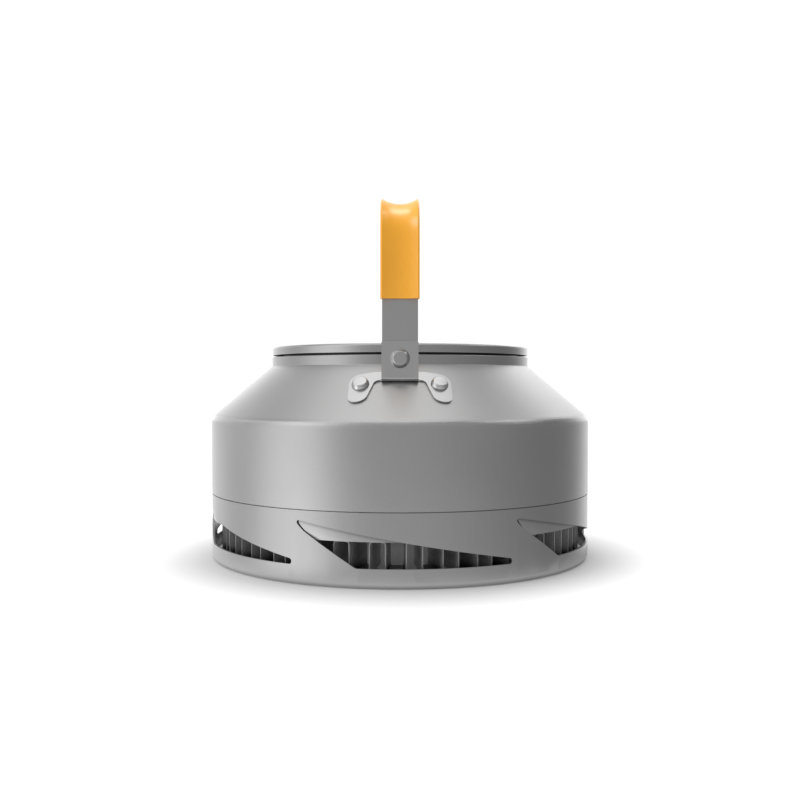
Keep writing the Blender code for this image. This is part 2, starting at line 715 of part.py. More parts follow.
def grip_section():
    """The grip across its length: a shallow groove outside, a rounded palm side inside."""
    half = GRIP_WIDTH / 2
    groove = []
    for step in range(5):
        share = step / 2 - 1
        rise = (GRIP_RIDGE - GRIP_GROOVE) * share ** 2
        groove.append((share * GRIP_GROOVE_SHARE * half, GRIP_GROOVE + rise))
    palm = [(half * across, -GRIP_PALM * deep) for across, deep in GRIP_PALM_SHARES]
    side = [(half, GRIP_RIDGE - GRIP_RIDGE_EDGE), *palm]
    return groove + side + [(-across, rise) for across, rise in reversed(side)]


def make_grip():
    """The soft grip: a sleeve over the top of the strap and down both legs."""
    channel_x = STRAP_WIDTH / 2 + GAP
    channel_y = STRAP_THICKNESS / 2 + GAP
    channel = [
        (-channel_x, channel_y),
        (channel_x, channel_y),
        (channel_x, -channel_y),
        (-channel_x, -channel_y),
    ]
    end = BEND_CENTRE_Y + BEND_ARC + GRIP_LEG
    stations = arch_stations(end, 6)

    def frame(distance):
        """The matrix that stands a cross-section on the arch."""
        place, outward = arch_frame(distance)
        across = Vector((1, 0, 0))
        along = across.cross(outward)
        turn = Matrix((across, outward, along)).transposed().to_4x4()
        return Matrix.Translation(place) @ turn

    mesh = bmesh.new()
    rings = []
    for loop in (grip_section(), channel):
        corners = [mesh.verts.new((x, y, 0.0)) for x, y in loop]
        rings += [mesh.edges.new((corners[index - 1], corner)) for index, corner in enumerate(corners)]
    cap = bmesh.ops.bridge_loops(mesh, edges=rings)["faces"]
    bmesh.ops.transform(mesh, matrix=frame(stations[0]), verts=mesh.verts)
    for distance, following in zip(stations, stations[1:]):
        grown = bmesh.ops.extrude_face_region(mesh, geom=cap)["geom"]
        if distance != stations[0]:
            bmesh.ops.delete(mesh, geom=cap, context="FACES_ONLY")
        cap = [item for item in grown if isinstance(item, bmesh.types.BMFace)]
        points = [item for item in grown if isinstance(item, bmesh.types.BMVert)]
        step = frame(following) @ frame(distance).inverted()
        bmesh.ops.transform(mesh, matrix=step, verts=points)
    return solid("handle_grip", mesh, ORANGE_SILICONE)


def spout_ring(along, inset):
    """A cross-section of the spout, along its axis from the cone, inset from its outer face."""
    share = max(0.0, min(along / SPOUT_LENGTH, 1.0))
    flare = (1 - share) ** SPOUT_FLARE_POWER
    wide = SPOUT_TIP[0] + (SPOUT_ROOT[0] - SPOUT_TIP[0]) * flare - inset
    deep = SPOUT_TIP[1] + (SPOUT_ROOT[1] - SPOUT_TIP[1]) * flare - inset
    axis = Vector((0.0, math.cos(SPOUT_LEAN), math.sin(SPOUT_LEAN)))
    depth = Vector((0.0, -axis.z, axis.y))
    centre = cone_place(0.0, SPOUT_SLOPE, 0.0) + axis * along
    loop = []
    for corner in range(SPOUT_CORNERS):
        angle = 2 * math.pi * corner / SPOUT_CORNERS
        loop.append(centre + Vector((wide * math.cos(angle), 0, 0)) + depth * deep * math.sin(angle))
    return loop


def seat_on_cone(point):
    """Slide a point along the spout's axis until it stands clear of the cone by the gap."""
    axis = Vector((0.0, math.cos(SPOUT_LEAN), math.sin(SPOUT_LEAN)))
    low, high = -BODY_RADIUS / 4, BODY_RADIUS / 4
    while high - low > SAME_POINT / 10:
        middle = (low + high) / 2
        place = point + axis * middle
        lift = (place.z - cone_height(math.hypot(place.x, place.y))) * COS_CONE
        if lift < GAP:
            low = middle
        else:
            high = middle
    return point + axis * high


def make_spout(vessel):
    """The spout: a flared tube that stands on the cone, and the hole under it."""
    outer_root = [seat_on_cone(point) for point in spout_ring(0.0, 0.0)]
    inner_root = [seat_on_cone(point) for point in spout_ring(0.0, SPOUT_WALL)]
    levels = [SPOUT_LENGTH * share for share in SPOUT_LEVEL_SHARES]
    outer = [spout_ring(level, 0.0) for level in levels]
    inner = [spout_ring(level, SPOUT_WALL) for level in reversed(levels)]
    mesh = bmesh.new()
    skin(mesh, [outer_root, *outer, *inner, inner_root], closed=True)
    solid("spout", mesh, ANODISED)
    drill = bmesh.new()
    skin(drill, [spout_ring(along, SPOUT_WALL) for along in SPOUT_DRILL], closed=False)
    cut(vessel, cutter("spout_drill", drill))


def make_lid():
    """The lid's pressing: bead, seat, plug and dish, with a hole for the knob's screw."""
    seat = MOUTH_RADIUS + LID_SEAT
    plug = MOUTH_RADIUS - LID_PLUG_CLEARANCE
    bead = COLLAR_RADIUS + LID_OVERHANG
    under = COLLAR_TOP + LID_SHADOW_GAP
    top = under + LID_BEAD_HEIGHT
    bottom = LID_SEAT_HEIGHT - LID_PLUG_DEPTH
    dish = bottom + LID_SHEET
    bore = SCREW_SHANK + GAP
    corners = [
        (bore, dish, 0.0),
        (plug - LID_SHEET, dish, LID_PLUG_CORNER - LID_SHEET),
        (plug - LID_SHEET, top - LID_BEAD_CORNER, 0.0),
        (seat, top, 0.0),
        (bead, top, LID_BEAD_CORNER),
        (bead, under, LID_BEAD_FOOT),
        (seat, under, 0.0),
        (seat, LID_SEAT_HEIGHT, 0.0),
        (plug, LID_SEAT_HEIGHT, 0.0),
        (plug, bottom, LID_PLUG_CORNER),
        (bore, bottom, 0.0),
    ]
    return turned("lid", rounded(corners, steps=2), ANODISED, BODY_SEGMENTS)


def make_knob():
    """The lid's knob, with the screw and washer that hold it from below."""
    dish = LID_SEAT_HEIGHT - LID_PLUG_DEPTH + LID_SHEET
    foot = dish + GAP
    top = foot + KNOB_HEIGHT
    cap = top - KNOB_CAP
    bore = SCREW_SHANK + GAP
    corners = [
        (0.0, foot + SCREW_LENGTH + GAP, 0.0),
        (bore, foot + SCREW_LENGTH + GAP, 0.0),
        (bore, foot, 0.0),
        (KNOB_NECK + KNOB_FLARE, foot, 0.0),
        (KNOB_NECK, cap - KNOB_FLARE, KNOB_FLARE),
        (KNOB_RADIUS, cap, KNOB_UNDER_EDGE),
        (KNOB_RADIUS, top, KNOB_TOP_EDGE),
        (0.0, top, 0.0),
    ]
    knob = turned("lid_knob", rounded(corners, steps=2), ORANGE_SILICONE, 28)
    washer_top = LID_SEAT_HEIGHT - LID_PLUG_DEPTH - GAP
    washer_low = washer_top - LID_WASHER_THICKNESS
    rim = [
        (bore, washer_low),
        (LID_WASHER_RADIUS, washer_low),
        (LID_WASHER_RADIUS, washer_top),
        (bore, washer_top),
    ]
    washer = turned("knob_washer", rim, STEEL, 20)
    head = washer_low - GAP
    screw_corners = [
        (0.0, head - SCREW_HEAD_HEIGHT, 0.0),
        (SCREW_HEAD_RADIUS, head - SCREW_HEAD_HEIGHT, SCREW_HEAD_EDGE),
        (SCREW_HEAD_RADIUS, head, 0.0),
        (SCREW_SHANK, head, 0.0),
        (SCREW_SHANK, foot + SCREW_LENGTH, 0.0),
        (0.0, foot + SCREW_LENGTH, 0.0),
    ]
    screw = turned("knob_screw", rounded(screw_corners, steps=2), STEEL, 16)
    return [knob, washer, screw]


def build_kettle():
    """Make every piece of the kettle."""
    remove_all()
    vessel = make_vessel()
    make_fin_band()
    make_skirt()
    make_spout(vessel)
    make_bracket("front_bracket", 1)
    make_bracket("rear_bracket", -1)
    make_bracket_rivets(vessel)
    make_pivots()
    hold("handle_pivot", (0.0, 0.0, PIVOT_HEIGHT), [make_strap(), make_grip()])
    hold("lid_seat", (0.0, 0.0, LID_SEAT_HEIGHT), [make_lid(), *make_knob()])
    bpy.context.view_layer.update()


build_kettle()
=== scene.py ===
import json
import math

import bmesh
import bpy
from mathutils import Matrix, Vector


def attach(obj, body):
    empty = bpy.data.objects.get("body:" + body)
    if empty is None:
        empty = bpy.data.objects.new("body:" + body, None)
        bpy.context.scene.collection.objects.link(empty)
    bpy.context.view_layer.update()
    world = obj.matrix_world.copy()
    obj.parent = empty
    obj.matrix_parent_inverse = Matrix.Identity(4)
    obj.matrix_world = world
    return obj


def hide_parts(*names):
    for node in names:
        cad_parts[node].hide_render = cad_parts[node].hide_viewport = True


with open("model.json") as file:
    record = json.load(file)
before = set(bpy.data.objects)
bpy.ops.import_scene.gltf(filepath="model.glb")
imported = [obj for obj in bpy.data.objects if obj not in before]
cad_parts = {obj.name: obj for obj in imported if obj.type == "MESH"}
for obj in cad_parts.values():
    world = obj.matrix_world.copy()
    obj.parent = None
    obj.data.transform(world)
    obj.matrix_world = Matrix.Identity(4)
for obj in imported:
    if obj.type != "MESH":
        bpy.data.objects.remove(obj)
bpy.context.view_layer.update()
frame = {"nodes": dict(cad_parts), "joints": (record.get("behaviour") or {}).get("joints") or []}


# The camera stands in front of the handle's rear bracket, a little under the lid's height,
# and looks slightly down. The distance and the lens come from the photograph's perspective.
camera_distance = 0.3952
camera_height = 0.0693
camera_dip = math.radians(1.04)
camera_lens = 43.26
film_width = 36.0
nearest_seen = 0.01
camera = bpy.data.objects.new("camera", bpy.data.cameras.new("camera"))
camera.data.lens = camera_lens
camera.data.sensor_width = film_width
camera.data.clip_start = nearest_seen
camera.location = (0.0, -camera_distance, camera_height)
camera.rotation_euler = (math.pi / 2 - camera_dip, 0.0, 0.0)
bpy.context.scene.collection.objects.link(camera)
bpy.context.scene.camera = camera


# The vessel is drawn from one aluminium disc: floor, wall, cone and collar. It is blasted
# with fine beads and hard anodised grey. Its lower end is tucked into the skirt.
body_radius = 0.0760
body_wall = 0.0010
floor_sheet = 0.0012
collar_radius = 0.05195
collar_top = 0.0795
collar_corner = 0.0006
cone_top = 0.0758
cone_angle = math.radians(40.2)
shoulder_fillet = 0.0052
mouth_radius = 0.0469
floor_height = 0.0159
seam_height = 0.0259
seam_width = 0.0003
tuck_radius = 0.0748
ridge_half = 0.0006
ridge_polish = 0.80
dimples_per_metre = 700.0
dimple_depth = 0.00005
round_steps = 216
weld_reach = 0.000005


def cone_height(radius):
    """Height of the cone's outer side at a distance from the kettle's axis."""
    return cone_top - (radius - collar_radius) * math.tan(cone_angle)


def draw_line(mesh, corners, steps=6, closed=False):
    """Draw a line through (x, z, fillet) corners in the XZ plane, and round its corners."""
    places = [Vector((x, 0.0, z)) for x, z, fillet in corners]
    points = [mesh.verts.new(place) for place in places]
    for point, following in zip(points, points[1:]):
        mesh.edges.new((point, following))
    if closed:
        mesh.edges.new((points[-1], points[0]))
    for index, (x, z, fillet) in enumerate(corners):
        if fillet > 0.0:
            back = places[index - 1] - places[index]
            ahead = places[(index + 1) % len(places)] - places[index]
            setback = fillet / math.tan(back.angle(ahead) / 2)
            bmesh.ops.bevel(mesh, geom=[points[index]], offset=setback, offset_type="OFFSET",
                            segments=steps, profile=0.5, affect="VERTICES", material=-1)


def spin_line(mesh, steps=round_steps):
    """Spin the lines in a mesh about the kettle's axis into a closed skin."""
    bmesh.ops.spin(mesh, geom=mesh.verts[:] + mesh.edges[:], axis=(0, 0, 1), cent=(0, 0, 0),
                   angle=2 * math.pi, steps=steps, use_merge=True)
    bmesh.ops.remove_doubles(mesh, verts=mesh.verts, dist=weld_reach)
    bmesh.ops.recalc_face_normals(mesh, faces=mesh.faces)


def make_piece(name, mesh, material, crease=30):
    """A finished piece, smooth except along edges that turn more than the crease angle."""
    data = bpy.data.meshes.new(name)
    mesh.to_mesh(data)
    mesh.free()
    data.materials.append(material)
    data.shade_smooth()
    data.set_sharp_from_angle(angle=math.radians(crease))
    piece = bpy.data.objects.new(name, data)
    bpy.context.scene.collection.objects.link(piece)
    return piece


def fit(piece, node, body):
    """Put a finished piece in a CAD node's place, on that node's body."""
    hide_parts(node)
    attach(piece, body)


def settle(piece, crease=30):
    """Make a piece's modifiers part of its mesh, and mark its sharp edges again."""
    bpy.context.view_layer.update()
    shown = piece.evaluated_get(bpy.context.evaluated_depsgraph_get())
    piece.data = bpy.data.meshes.new_from_object(shown)
    piece.modifiers.clear()
    piece.data.set_sharp_from_angle(angle=math.radians(crease))


def cut_out(piece, tool):
    """Cut a tool's shape out of a piece, and throw the tool away."""
    cutting = piece.modifiers.new("cut", "BOOLEAN")
    cutting.operation = "DIFFERENCE"
    cutting.solver = "EXACT"
    cutting.object = tool
    settle(piece)
    bpy.data.objects.remove(tool)


def feed(socket, value):
    """Set a node's input to a number or colour, or link another node's output to it."""
    if isinstance(value, bpy.types.NodeSocket):
        socket.id_data.links.new(value, socket)
    else:
        socket.default_value = value


def reckon(tree, operation, *values):
    """The result of a maths node on numbers or other nodes' outputs."""
    node = tree.nodes.new("ShaderNodeMath")
    node.operation = operation
    for socket, value in zip(node.inputs, values):
        feed(socket, value)
    return node.outputs[0]


def ranged(tree, value, start, end, low=0.0, high=1.0, kind="LINEAR"):
    """A value taken from the range start to end to the range low to high, and held at its ends."""
    node = tree.nodes.new("ShaderNodeMapRange")
    node.interpolation_type = kind
    names = ("Value", "From Min", "From Max", "To Min", "To Max")
    for name, amount in zip(names, (value, start, end, low, high)):
        feed(node.inputs[name], amount)
    return node.outputs["Result"]


def mixed(tree, share, first, second, kind="MIX"):
    """A mix of two colours, with the second one's share."""
    node = tree.nodes.new("ShaderNodeMix")
    node.data_type = "RGBA"
    node.blend_type = kind
    for name, value in (("Factor", share), ("A", first), ("B", second)):
        feed(node.inputs[name], value)
    return node.outputs["Result"]


def own_place(tree):
    """A point's coordinates on its own piece."""
    return tree.nodes.new("ShaderNodeTexCoord").outputs["Object"]


def part_of(tree, place, letter):
    """The X, Y or Z of a place."""
    split = tree.nodes.new("ShaderNodeSeparateXYZ")
    feed(split.inputs[0], place)
    return split.outputs[letter]


def source(shader, name):
    """What feeds an input of a shader."""
    return shader.inputs[name].links[0].from_socket


def bumped(tree, height, depth, normal=None):
    """A surface normal, bumped by a height in shares of a depth."""
    node = tree.nodes.new("ShaderNodeBump")
    node.inputs["Distance"].default_value = depth
    feed(node.inputs["Height"], height)
    if normal:
        feed(node.inputs["Normal"], normal)
    return node.outputs["Normal"]


def new_material(name):
    """A material with its node tree and its shader."""
    material = bpy.data.materials.new(name)
    material.use_nodes = True
    return material, material.node_tree, material.node_tree.nodes["Principled BSDF"]


def new_group(name, takes, gives):
    """A shader node group, with the names and kinds of its inputs and its outputs."""
    group = bpy.data.node_groups.new(name, "ShaderNodeTree")
    for direction, sockets in (("INPUT", takes), ("OUTPUT", gives)):
        for socket_name, kind in sockets.items():
            group.interface.new_socket(socket_name, in_out=direction, socket_type="NodeSocket" + kind)
    return group, group.nodes.new("NodeGroupInput").outputs, group.nodes.new("NodeGroupOutput").inputs


def use_group(tree, group, **values):
    """Place a node group in a tree with its own values, and give its outputs."""
    node = tree.nodes.new("ShaderNodeGroup")
    node.node_tree = group
    for name, value in values.items():
        feed(node.inputs[name.replace("_", " ").capitalize()], value)
    return node.outputs


# Every metal here has a fine grain: a soft sparkle of tiny pits, and a broad mottle that
# the bath left. One group makes both from the piece's own coordinates.
grain, grain_in, grain_out = new_group("metal grain", {"Grain size": "Float", "Mottle size": "Float"},
                                       {"Grain": "Float", "Mottle": "Float"})
grain_place = own_place(grain)
for size, out, detail in (("Grain size", "Grain", 2.0), ("Mottle size", "Mottle", 3.0)):
    texture = grain.nodes.new("ShaderNodeTexNoise")
    texture.inputs["Detail"].default_value = detail
    feed(texture.inputs["Scale"], reckon(grain, "DIVIDE", 1.0, grain_in[size]))
    feed(texture.inputs["Vector"], grain_place)
    feed(grain_out[out], texture.outputs["Fac"])


def grey(level):
    """A neutral colour of a given lightness."""
    return level, level, level, 1.0


def metal_finish(name, dark, light, roughness, pit_depth, metallic=1.0, grain_size=0.0004):
    """A grained metal between two colours, with its roughness range and the depth of its pits."""
    material, tree, shader = new_material(name)
    shader.inputs["Metallic"].default_value = metallic
    pattern = use_group(tree, grain, grain_size=grain_size, mottle_size=0.030)
    pits, mottle = pattern["Grain"], pattern["Mottle"]
    share = reckon(tree, "MULTIPLY_ADD", mottle, 0.5, reckon(tree, "MULTIPLY", pits, 0.5))
    feed(shader.inputs["Base Color"], mixed(tree, share, dark, light))
    feed(shader.inputs["Roughness"], ranged(tree, pits, 0.3, 0.7, *roughness))
    feed(shader.inputs["Normal"], bumped(tree, pits, pit_depth))
    return material


def anodising(name):
    """The kettle's main finish: fine bead blasting under hard grey anodising."""
    return metal_finish(name, grey(0.40), grey(0.52), (0.34, 0.42), 0.00001)


anodised = anodising("blasted grey anodising")
vessel_metal = anodising("vessel anodising")

# The collar is a shade darker than the cone. Painted shade darkens the collar's top and the lid
# below its bead, in the gap between them. One group changes a colour's tone between two heights,
# and a finish uses it once for each change.
tones, tones_in, tones_out = new_group("tone by height", {
    "Colour": "Color", "Low": "Float", "High": "Float", "Tone below": "Float", "Tone above": "Float",
}, {"Colour": "Color"})
tone = ranged(tones, part_of(tones, own_place(tones), "Z"), tones_in["Low"], tones_in["High"],
              tones_in["Tone below"], tones_in["Tone above"])
feed(tones_out["Colour"], mixed(tones, 1.0, tones_in["Colour"], tone, "MULTIPLY"))


def shade_by_height(material, changes):
    """Multiply a metal's colour by tones, each change given by two heights and the tones there."""
    tree = material.node_tree
    shader = tree.nodes["Principled BSDF"]
    for low, high, below, above in changes:
        toned = use_group(tree, tones, colour=source(shader, "Base Color"), low=low, high=high,
                          tone_below=below, tone_above=above)
        feed(shader.inputs["Base Color"], toned["Colour"])


# Painted shade: the collar's top, in the gap under the lid's bead, is darkened to about a third
shade_by_height(vessel_metal, [
    (cone_top - 0.0008, cone_top + 0.0002, 1.0, 0.90),
    (collar_top - 0.0001, collar_top - 0.00003, 1.0, 1 / 3),
    (collar_top - 0.00003, collar_top + 0.0001, 1.0, 2 / 3),
])

# Handling has burnished the shoulder's ridge: it is smoother there, and faintly dimpled
vessel_tree = vessel_metal.node_tree
vessel_shader = vessel_tree.nodes["Principled BSDF"]
vessel_place = own_place(vessel_tree)
vessel_height = part_of(vessel_tree, vessel_place, "Z")
above_ridge = reckon(vessel_tree, "SUBTRACT", vessel_height, cone_height(body_radius))
on_ridge = ranged(vessel_tree, reckon(vessel_tree, "ABSOLUTE", above_ridge), 2 * ridge_half, ridge_half,
                  kind="SMOOTHSTEP")
burnish = ranged(vessel_tree, on_ridge, 0.0, 1.0, 1.0, ridge_polish)
dimples = vessel_tree.nodes.new("ShaderNodeTexNoise")
dimples.inputs["Scale"].default_value = dimples_per_metre
dimples.inputs["Detail"].default_value = 1.0
feed(dimples.inputs["Vector"], vessel_place)
feed(vessel_shader.inputs["Roughness"],
     reckon(vessel_tree, "MULTIPLY", source(vessel_shader, "Roughness"), burnish))
dimpled = reckon(vessel_tree, "MULTIPLY", dimples.outputs["Fac"], on_ridge)
feed(vessel_shader.inputs["Normal"],
     bumped(vessel_tree, dimpled, dimple_depth, source(vessel_shader, "Normal")))

vessel_line = bmesh.new()
inner = body_radius - body_wall
inside_tuck = tuck_radius - body_wall
inside_collar = collar_radius - body_wall
cone_drop = body_wall / math.cos(cone_angle)
ledge = seam_height + seam_width / 2
draw_line(vessel_line, [
    (0.0, floor_height + floor_sheet, 0.0),
    (inside_tuck, floor_height + floor_sheet, 0.0060),
    (inside_tuck, ledge + body_wall / 3, 0.0),
    (inner, ledge + body_wall, 0.0),
    (inner, cone_height(inner) - cone_drop, shoulder_fillet - body_wall),
    (inside_collar, cone_height(inside_collar) - cone_drop, 0.0010),
    (inside_collar, collar_top - body_wall, 0.0008),
    (mouth_radius, collar_top - body_wall, 0.0),
    (mouth_radius, collar_top, 0.0003),
    (collar_radius, collar_top, collar_corner),
    (collar_radius, cone_top, 0.0005),
    (body_radius, cone_height(body_radius), shoulder_fillet),
    (body_radius, ledge, 0.0001),
    (tuck_radius, ledge, 0.0),
    (tuck_radius, floor_height, 0.0070),
    (0.0, floor_height, 0.0),
])
spin_line(vessel_line)
vessel = make_piece("vessel", vessel_line, vessel_metal)

# The spout's hole in the cone is cut along the spout's own axis
spout_lean = math.radians(62.0)
spout_axis = Vector((0.0, math.cos(spout_lean), math.sin(spout_lean)))
spout_slope = 0.0200
spout_hole_size = (0.0066, 0.0046)
spout_drill_depth = 0.012
spout_radius = collar_radius + spout_slope * math.cos(cone_angle)
spout_foot = Vector((0.0, spout_radius, cone_height(spout_radius)))
spout_turn = Matrix.Translation(spout_foot) @ Matrix.Rotation(spout_lean - math.pi / 2, 4, "X")
hole = bmesh.new()
bmesh.ops.create_cone(hole, cap_ends=True, segments=48, radius1=1.0, radius2=1.0, depth=spout_drill_depth)
bmesh.ops.scale(hole, vec=(*spout_hole_size, 1.0), verts=hole.verts)
bmesh.ops.transform(hole, matrix=spout_turn, verts=hole.verts)
cut_out(vessel, make_piece("spout_hole", hole, anodised))
fit(vessel, "pot_body", "kettle")


# The fin band is one strip of thin aluminium, folded into square waves and bent to a ring
# under the floor. Its top folds touch the floor, and hot gas passes between its walls.
fin_count = 36
fin_sheet = 0.0004
fin_base = 0.0036
fin_top = 0.0156
fin_inner = 0.0500
fin_outer = 0.0720
fin_half_width = 0.00295
fin_corner = 0.0013
fin_turn = math.radians(3.9)
fin_pitch = 2 * math.pi / fin_count
sheet_weld = 0.00001
low_shade_start = 0.0050
low_shade_end = 0.0072
low_shade_grey = 0.012
unshaded_edge_start = 0.0006
unshaded_edge_end = 0.0001
unshaded_edge_grey = 0.36


def from_axis(tree, place):
    """The distance of a point from the kettle's axis."""
    flat = tree.nodes.new("ShaderNodeVectorMath")
    flat.operation = "MULTIPLY"
    flat.inputs[1].default_value = (1.0, 1.0, 0.0)
    length = tree.nodes.new("ShaderNodeVectorMath")
    length.operation = "LENGTH"
    feed(flat.inputs[0], place)
    feed(length.inputs[0], flat.outputs[0])
    return length.outputs["Value"]


def thicken(piece, thickness, outwards=False):
    """Give a bent sheet its thickness, behind the side that it shows or in front of it."""
    wall = piece.modifiers.new("sheet", "SOLIDIFY")
    wall.thickness = thickness
    wall.offset = 1.0 if outwards else -1.0
    wall.use_even_offset = True
    settle(piece)


# Painted shade: the fins' lower ends are darkened almost to black, for the shade low inside the
# skirt. Their outer edges are left out of this painted shade and keep a mid grey.
fin_metal = metal_finish("fin aluminium", grey(0.33), grey(0.41), (0.50, 0.60), 0.000004, metallic=0.30)
fin_tree = fin_metal.node_tree
fin_shader = fin_tree.nodes["Principled BSDF"]
fin_place = own_place(fin_tree)
above_low_shade = ranged(fin_tree, part_of(fin_tree, fin_place, "Z"), low_shade_start, low_shade_end)
low_shaded = mixed(fin_tree, above_low_shade, grey(low_shade_grey), source(fin_shader, "Base Color"))
at_edge = ranged(fin_tree, from_axis(fin_tree, fin_place), fin_outer - unshaded_edge_start, fin_outer - unshaded_edge_end)
feed(fin_shader.inputs["Base Color"], mixed(fin_tree, at_edge, low_shaded, grey(unshaded_edge_grey)))

band = bmesh.new()
gap_half = fin_outer * fin_pitch / 2
draw_line(band, [
    (-gap_half, fin_base, 0.0),
    (-fin_half_width, fin_base, 0.0008),
    (-fin_half_width, fin_top, fin_corner),
    (fin_half_width, fin_top, fin_corner),
    (fin_half_width, fin_base, 0.0008),
    (gap_half, fin_base, 0.0),
], steps=4)
for point in band.verts:
    angle = point.co.x / fin_outer + fin_turn
    point.co = (fin_outer * math.sin(angle), -fin_outer * math.cos(angle), point.co.z)
deep = bmesh.ops.extrude_edge_only(band, edges=band.edges[:])["geom"]
deep_points = [item for item in deep if isinstance(item, bmesh.types.BMVert)]
shrink = fin_inner / fin_outer
bmesh.ops.scale(band, vec=(shrink, shrink, 1.0), verts=deep_points)
bmesh.ops.spin(band, geom=band.verts[:] + band.edges[:] + band.faces[:], axis=(0, 0, 1), cent=(0, 0, 0),
               angle=2 * math.pi - fin_pitch, steps=fin_count - 1, use_duplicate=True)
bmesh.ops.remove_doubles(band, verts=band.verts, dist=sheet_weld)
bmesh.ops.recalc_face_normals(band, faces=band.faces)
if max(band.faces, key=lambda face: face.calc_center_median().z).normal.z < 0.0:
    bmesh.ops.reverse_faces(band, faces=band.faces)
fin_band = make_piece("corrugated_band", band, fin_metal)
thicken(fin_band, fin_sheet)
fit(fin_band, "fin_band", "kettle")


# The skirt is a ring of rolled sheet. Six long slots are cut in it, and over each the
# metal is pressed inwards from a crease, like a flap. Its lower edge is turned in.
skirt_radius = 0.0759
skirt_sheet = 0.0008
skirt_top = seam_height - seam_width / 2
foot_fillet = 0.0024
foot_arc = foot_fillet * math.pi / 2
foot_steps = 8
flange_width = 0.0030
slot_count = 6
slot_bottom = 0.00695
slot_tip = 0.0223
slot_left = math.radians(-28.75)
slot_left_bend = math.radians(-25.6)
slot_left_foot = math.radians(-11.35)
slot_right = math.radians(30.5)
slot_top_end = math.radians(0.5)
slot_bend_height = 0.01862
slot_nose = 0.0019
slot_nose_fillet = 0.0009
slot_tip_width = 0.0024
slot_tip_fillet = 0.0010
slot_foot_fillet = 0.0025
slot_cut = 0.0002
flap_step = 0.0003
flap_step_width = 0.0001
flap_sink = 0.00055
flap_curl = 2.2
flap_bends = (0.0022, 0.0030, 0.0038, 0.0046)
flap_corner = 0.0012
flap_nose = 0.0013
crease_shade = 0.62
crease_reach = 0.0012

# Painted shade: the flap is darkened along its crease, where shade falls in the step, and the tone fades out
# below it
skirt_metal = anodising("skirt anodising")
skirt_tree = skirt_metal.node_tree
skirt_shader = skirt_tree.nodes["Principled BSDF"]
in_crease = skirt_tree.nodes.new("ShaderNodeAttribute")
in_crease.attribute_name = "crease"
painted_crease_shade = ranged(skirt_tree, in_crease.outputs["Fac"], 0.0, 1.0, 1.0, crease_shade)
feed(skirt_shader.inputs["Base Color"],
     mixed(skirt_tree, 1.0, source(skirt_shader, "Base Color"), painted_crease_shade, "MULTIPLY"))


def cut_sheet(mesh, start, normal):
    """Divide a flat sheet along a line, so that it can bend there."""
    bmesh.ops.bisect_plane(mesh, geom=mesh.verts[:] + mesh.edges[:] + mesh.faces[:], dist=weld_reach,
                           plane_co=start, plane_no=normal)


def rolled(place):
    """Where a point of the skirt's flat pattern comes to lie: on the wall, foot or flange."""
    down = foot_fillet - place.z
    radius, height = skirt_radius, place.z
    if down > foot_arc:
        radius, height = skirt_radius - foot_fillet - (down - foot_arc), 0.0
    elif down > 0.0:
        radius = skirt_radius - foot_fillet * (1 - math.cos(down / foot_fillet))
        height = foot_fillet * (1 - math.sin(down / foot_fillet))
    angle = place.x / skirt_radius
    return Vector((radius * math.sin(angle), -radius * math.cos(angle), height))


slot_line = [
    (slot_left * skirt_radius + slot_tip_width, slot_tip, 0.0),
    (slot_left * skirt_radius, slot_tip, slot_tip_fillet),
    (slot_left_bend * skirt_radius, slot_bend_height, 0.0),
    (slot_left_foot * skirt_radius, slot_bottom, slot_foot_fillet),
    (slot_right * skirt_radius, slot_bottom, slot_nose_fillet),
    (slot_right * skirt_radius, slot_bottom + slot_nose, slot_nose_fillet),
    (slot_top_end * skirt_radius, floor_height, 0.0),
]
sector = 2 * math.pi * skirt_radius / slot_count
sector_left = (slot_left + slot_right) / 2 * skirt_radius - sector / 2
sector_right = sector_left + sector
pattern_foot = foot_fillet - foot_arc - flange_width
wall = bmesh.new()
draw_line(wall, [
    (sector_left, pattern_foot, 0.0),
    (sector_right, pattern_foot, 0.0),
    (sector_right, skirt_top, 0.0),
    (sector_left, skirt_top, 0.0),
], closed=True)
draw_line(wall, slot_line, steps=6, closed=True)
bmesh.ops.triangle_fill(wall, edges=wall.edges[:], use_beauty=True, normal=(0, -1, 0))

crease_start = Vector((slot_line[0][0], 0.0, slot_line[0][1]))
crease_end = Vector((slot_line[-1][0], 0.0, slot_line[-1][1]))
bend_x, bend_z = slot_line[2][:2]
foot_x, foot_z = slot_line[3][:2]
flap_x = bend_x + (bend_z - floor_height) / (bend_z - foot_z) * (foot_x - bend_x) + slot_cut
flap = bmesh.new()
draw_line(flap, [
    (crease_start.x, crease_start.z, 0.0),
    (slot_line[1][0] + flap_nose, slot_tip - slot_cut, slot_tip_fillet),
    (bend_x + slot_cut, bend_z + slot_cut / 3, 0.0),
    (flap_x, floor_height, flap_corner),
    (crease_end.x, crease_end.z, 0.0),
], steps=6, closed=True)
bmesh.ops.contextual_create(flap, geom=flap.edges[:])

sector_facets = round_steps // slot_count
for line in range(1, sector_facets):
    bend_line = sector_left + sector * line / sector_facets
    cut_sheet(wall, (bend_line, 0, 0), (1, 0, 0))
    cut_sheet(flap, (bend_line, 0, 0), (1, 0, 0))
for step in range(foot_steps + 1):
    cut_sheet(wall, (0, 0, foot_fillet - foot_arc * step / foot_steps), (0, 0, 1))
along_crease = (crease_end - crease_start).normalized()
from_crease = Vector((along_crease.z, 0.0, -along_crease.x))
if from_crease.z > 0.0:
    from_crease.negate()
for away in (flap_step_width, crease_reach / 2, crease_reach, *flap_bends):
    cut_sheet(flap, crease_start + from_crease * away, from_crease)
flap_reach = (Vector((flap_x, 0.0, floor_height)) - crease_start).dot(from_crease)
for point in wall.verts:
    point.co = rolled(point.co)
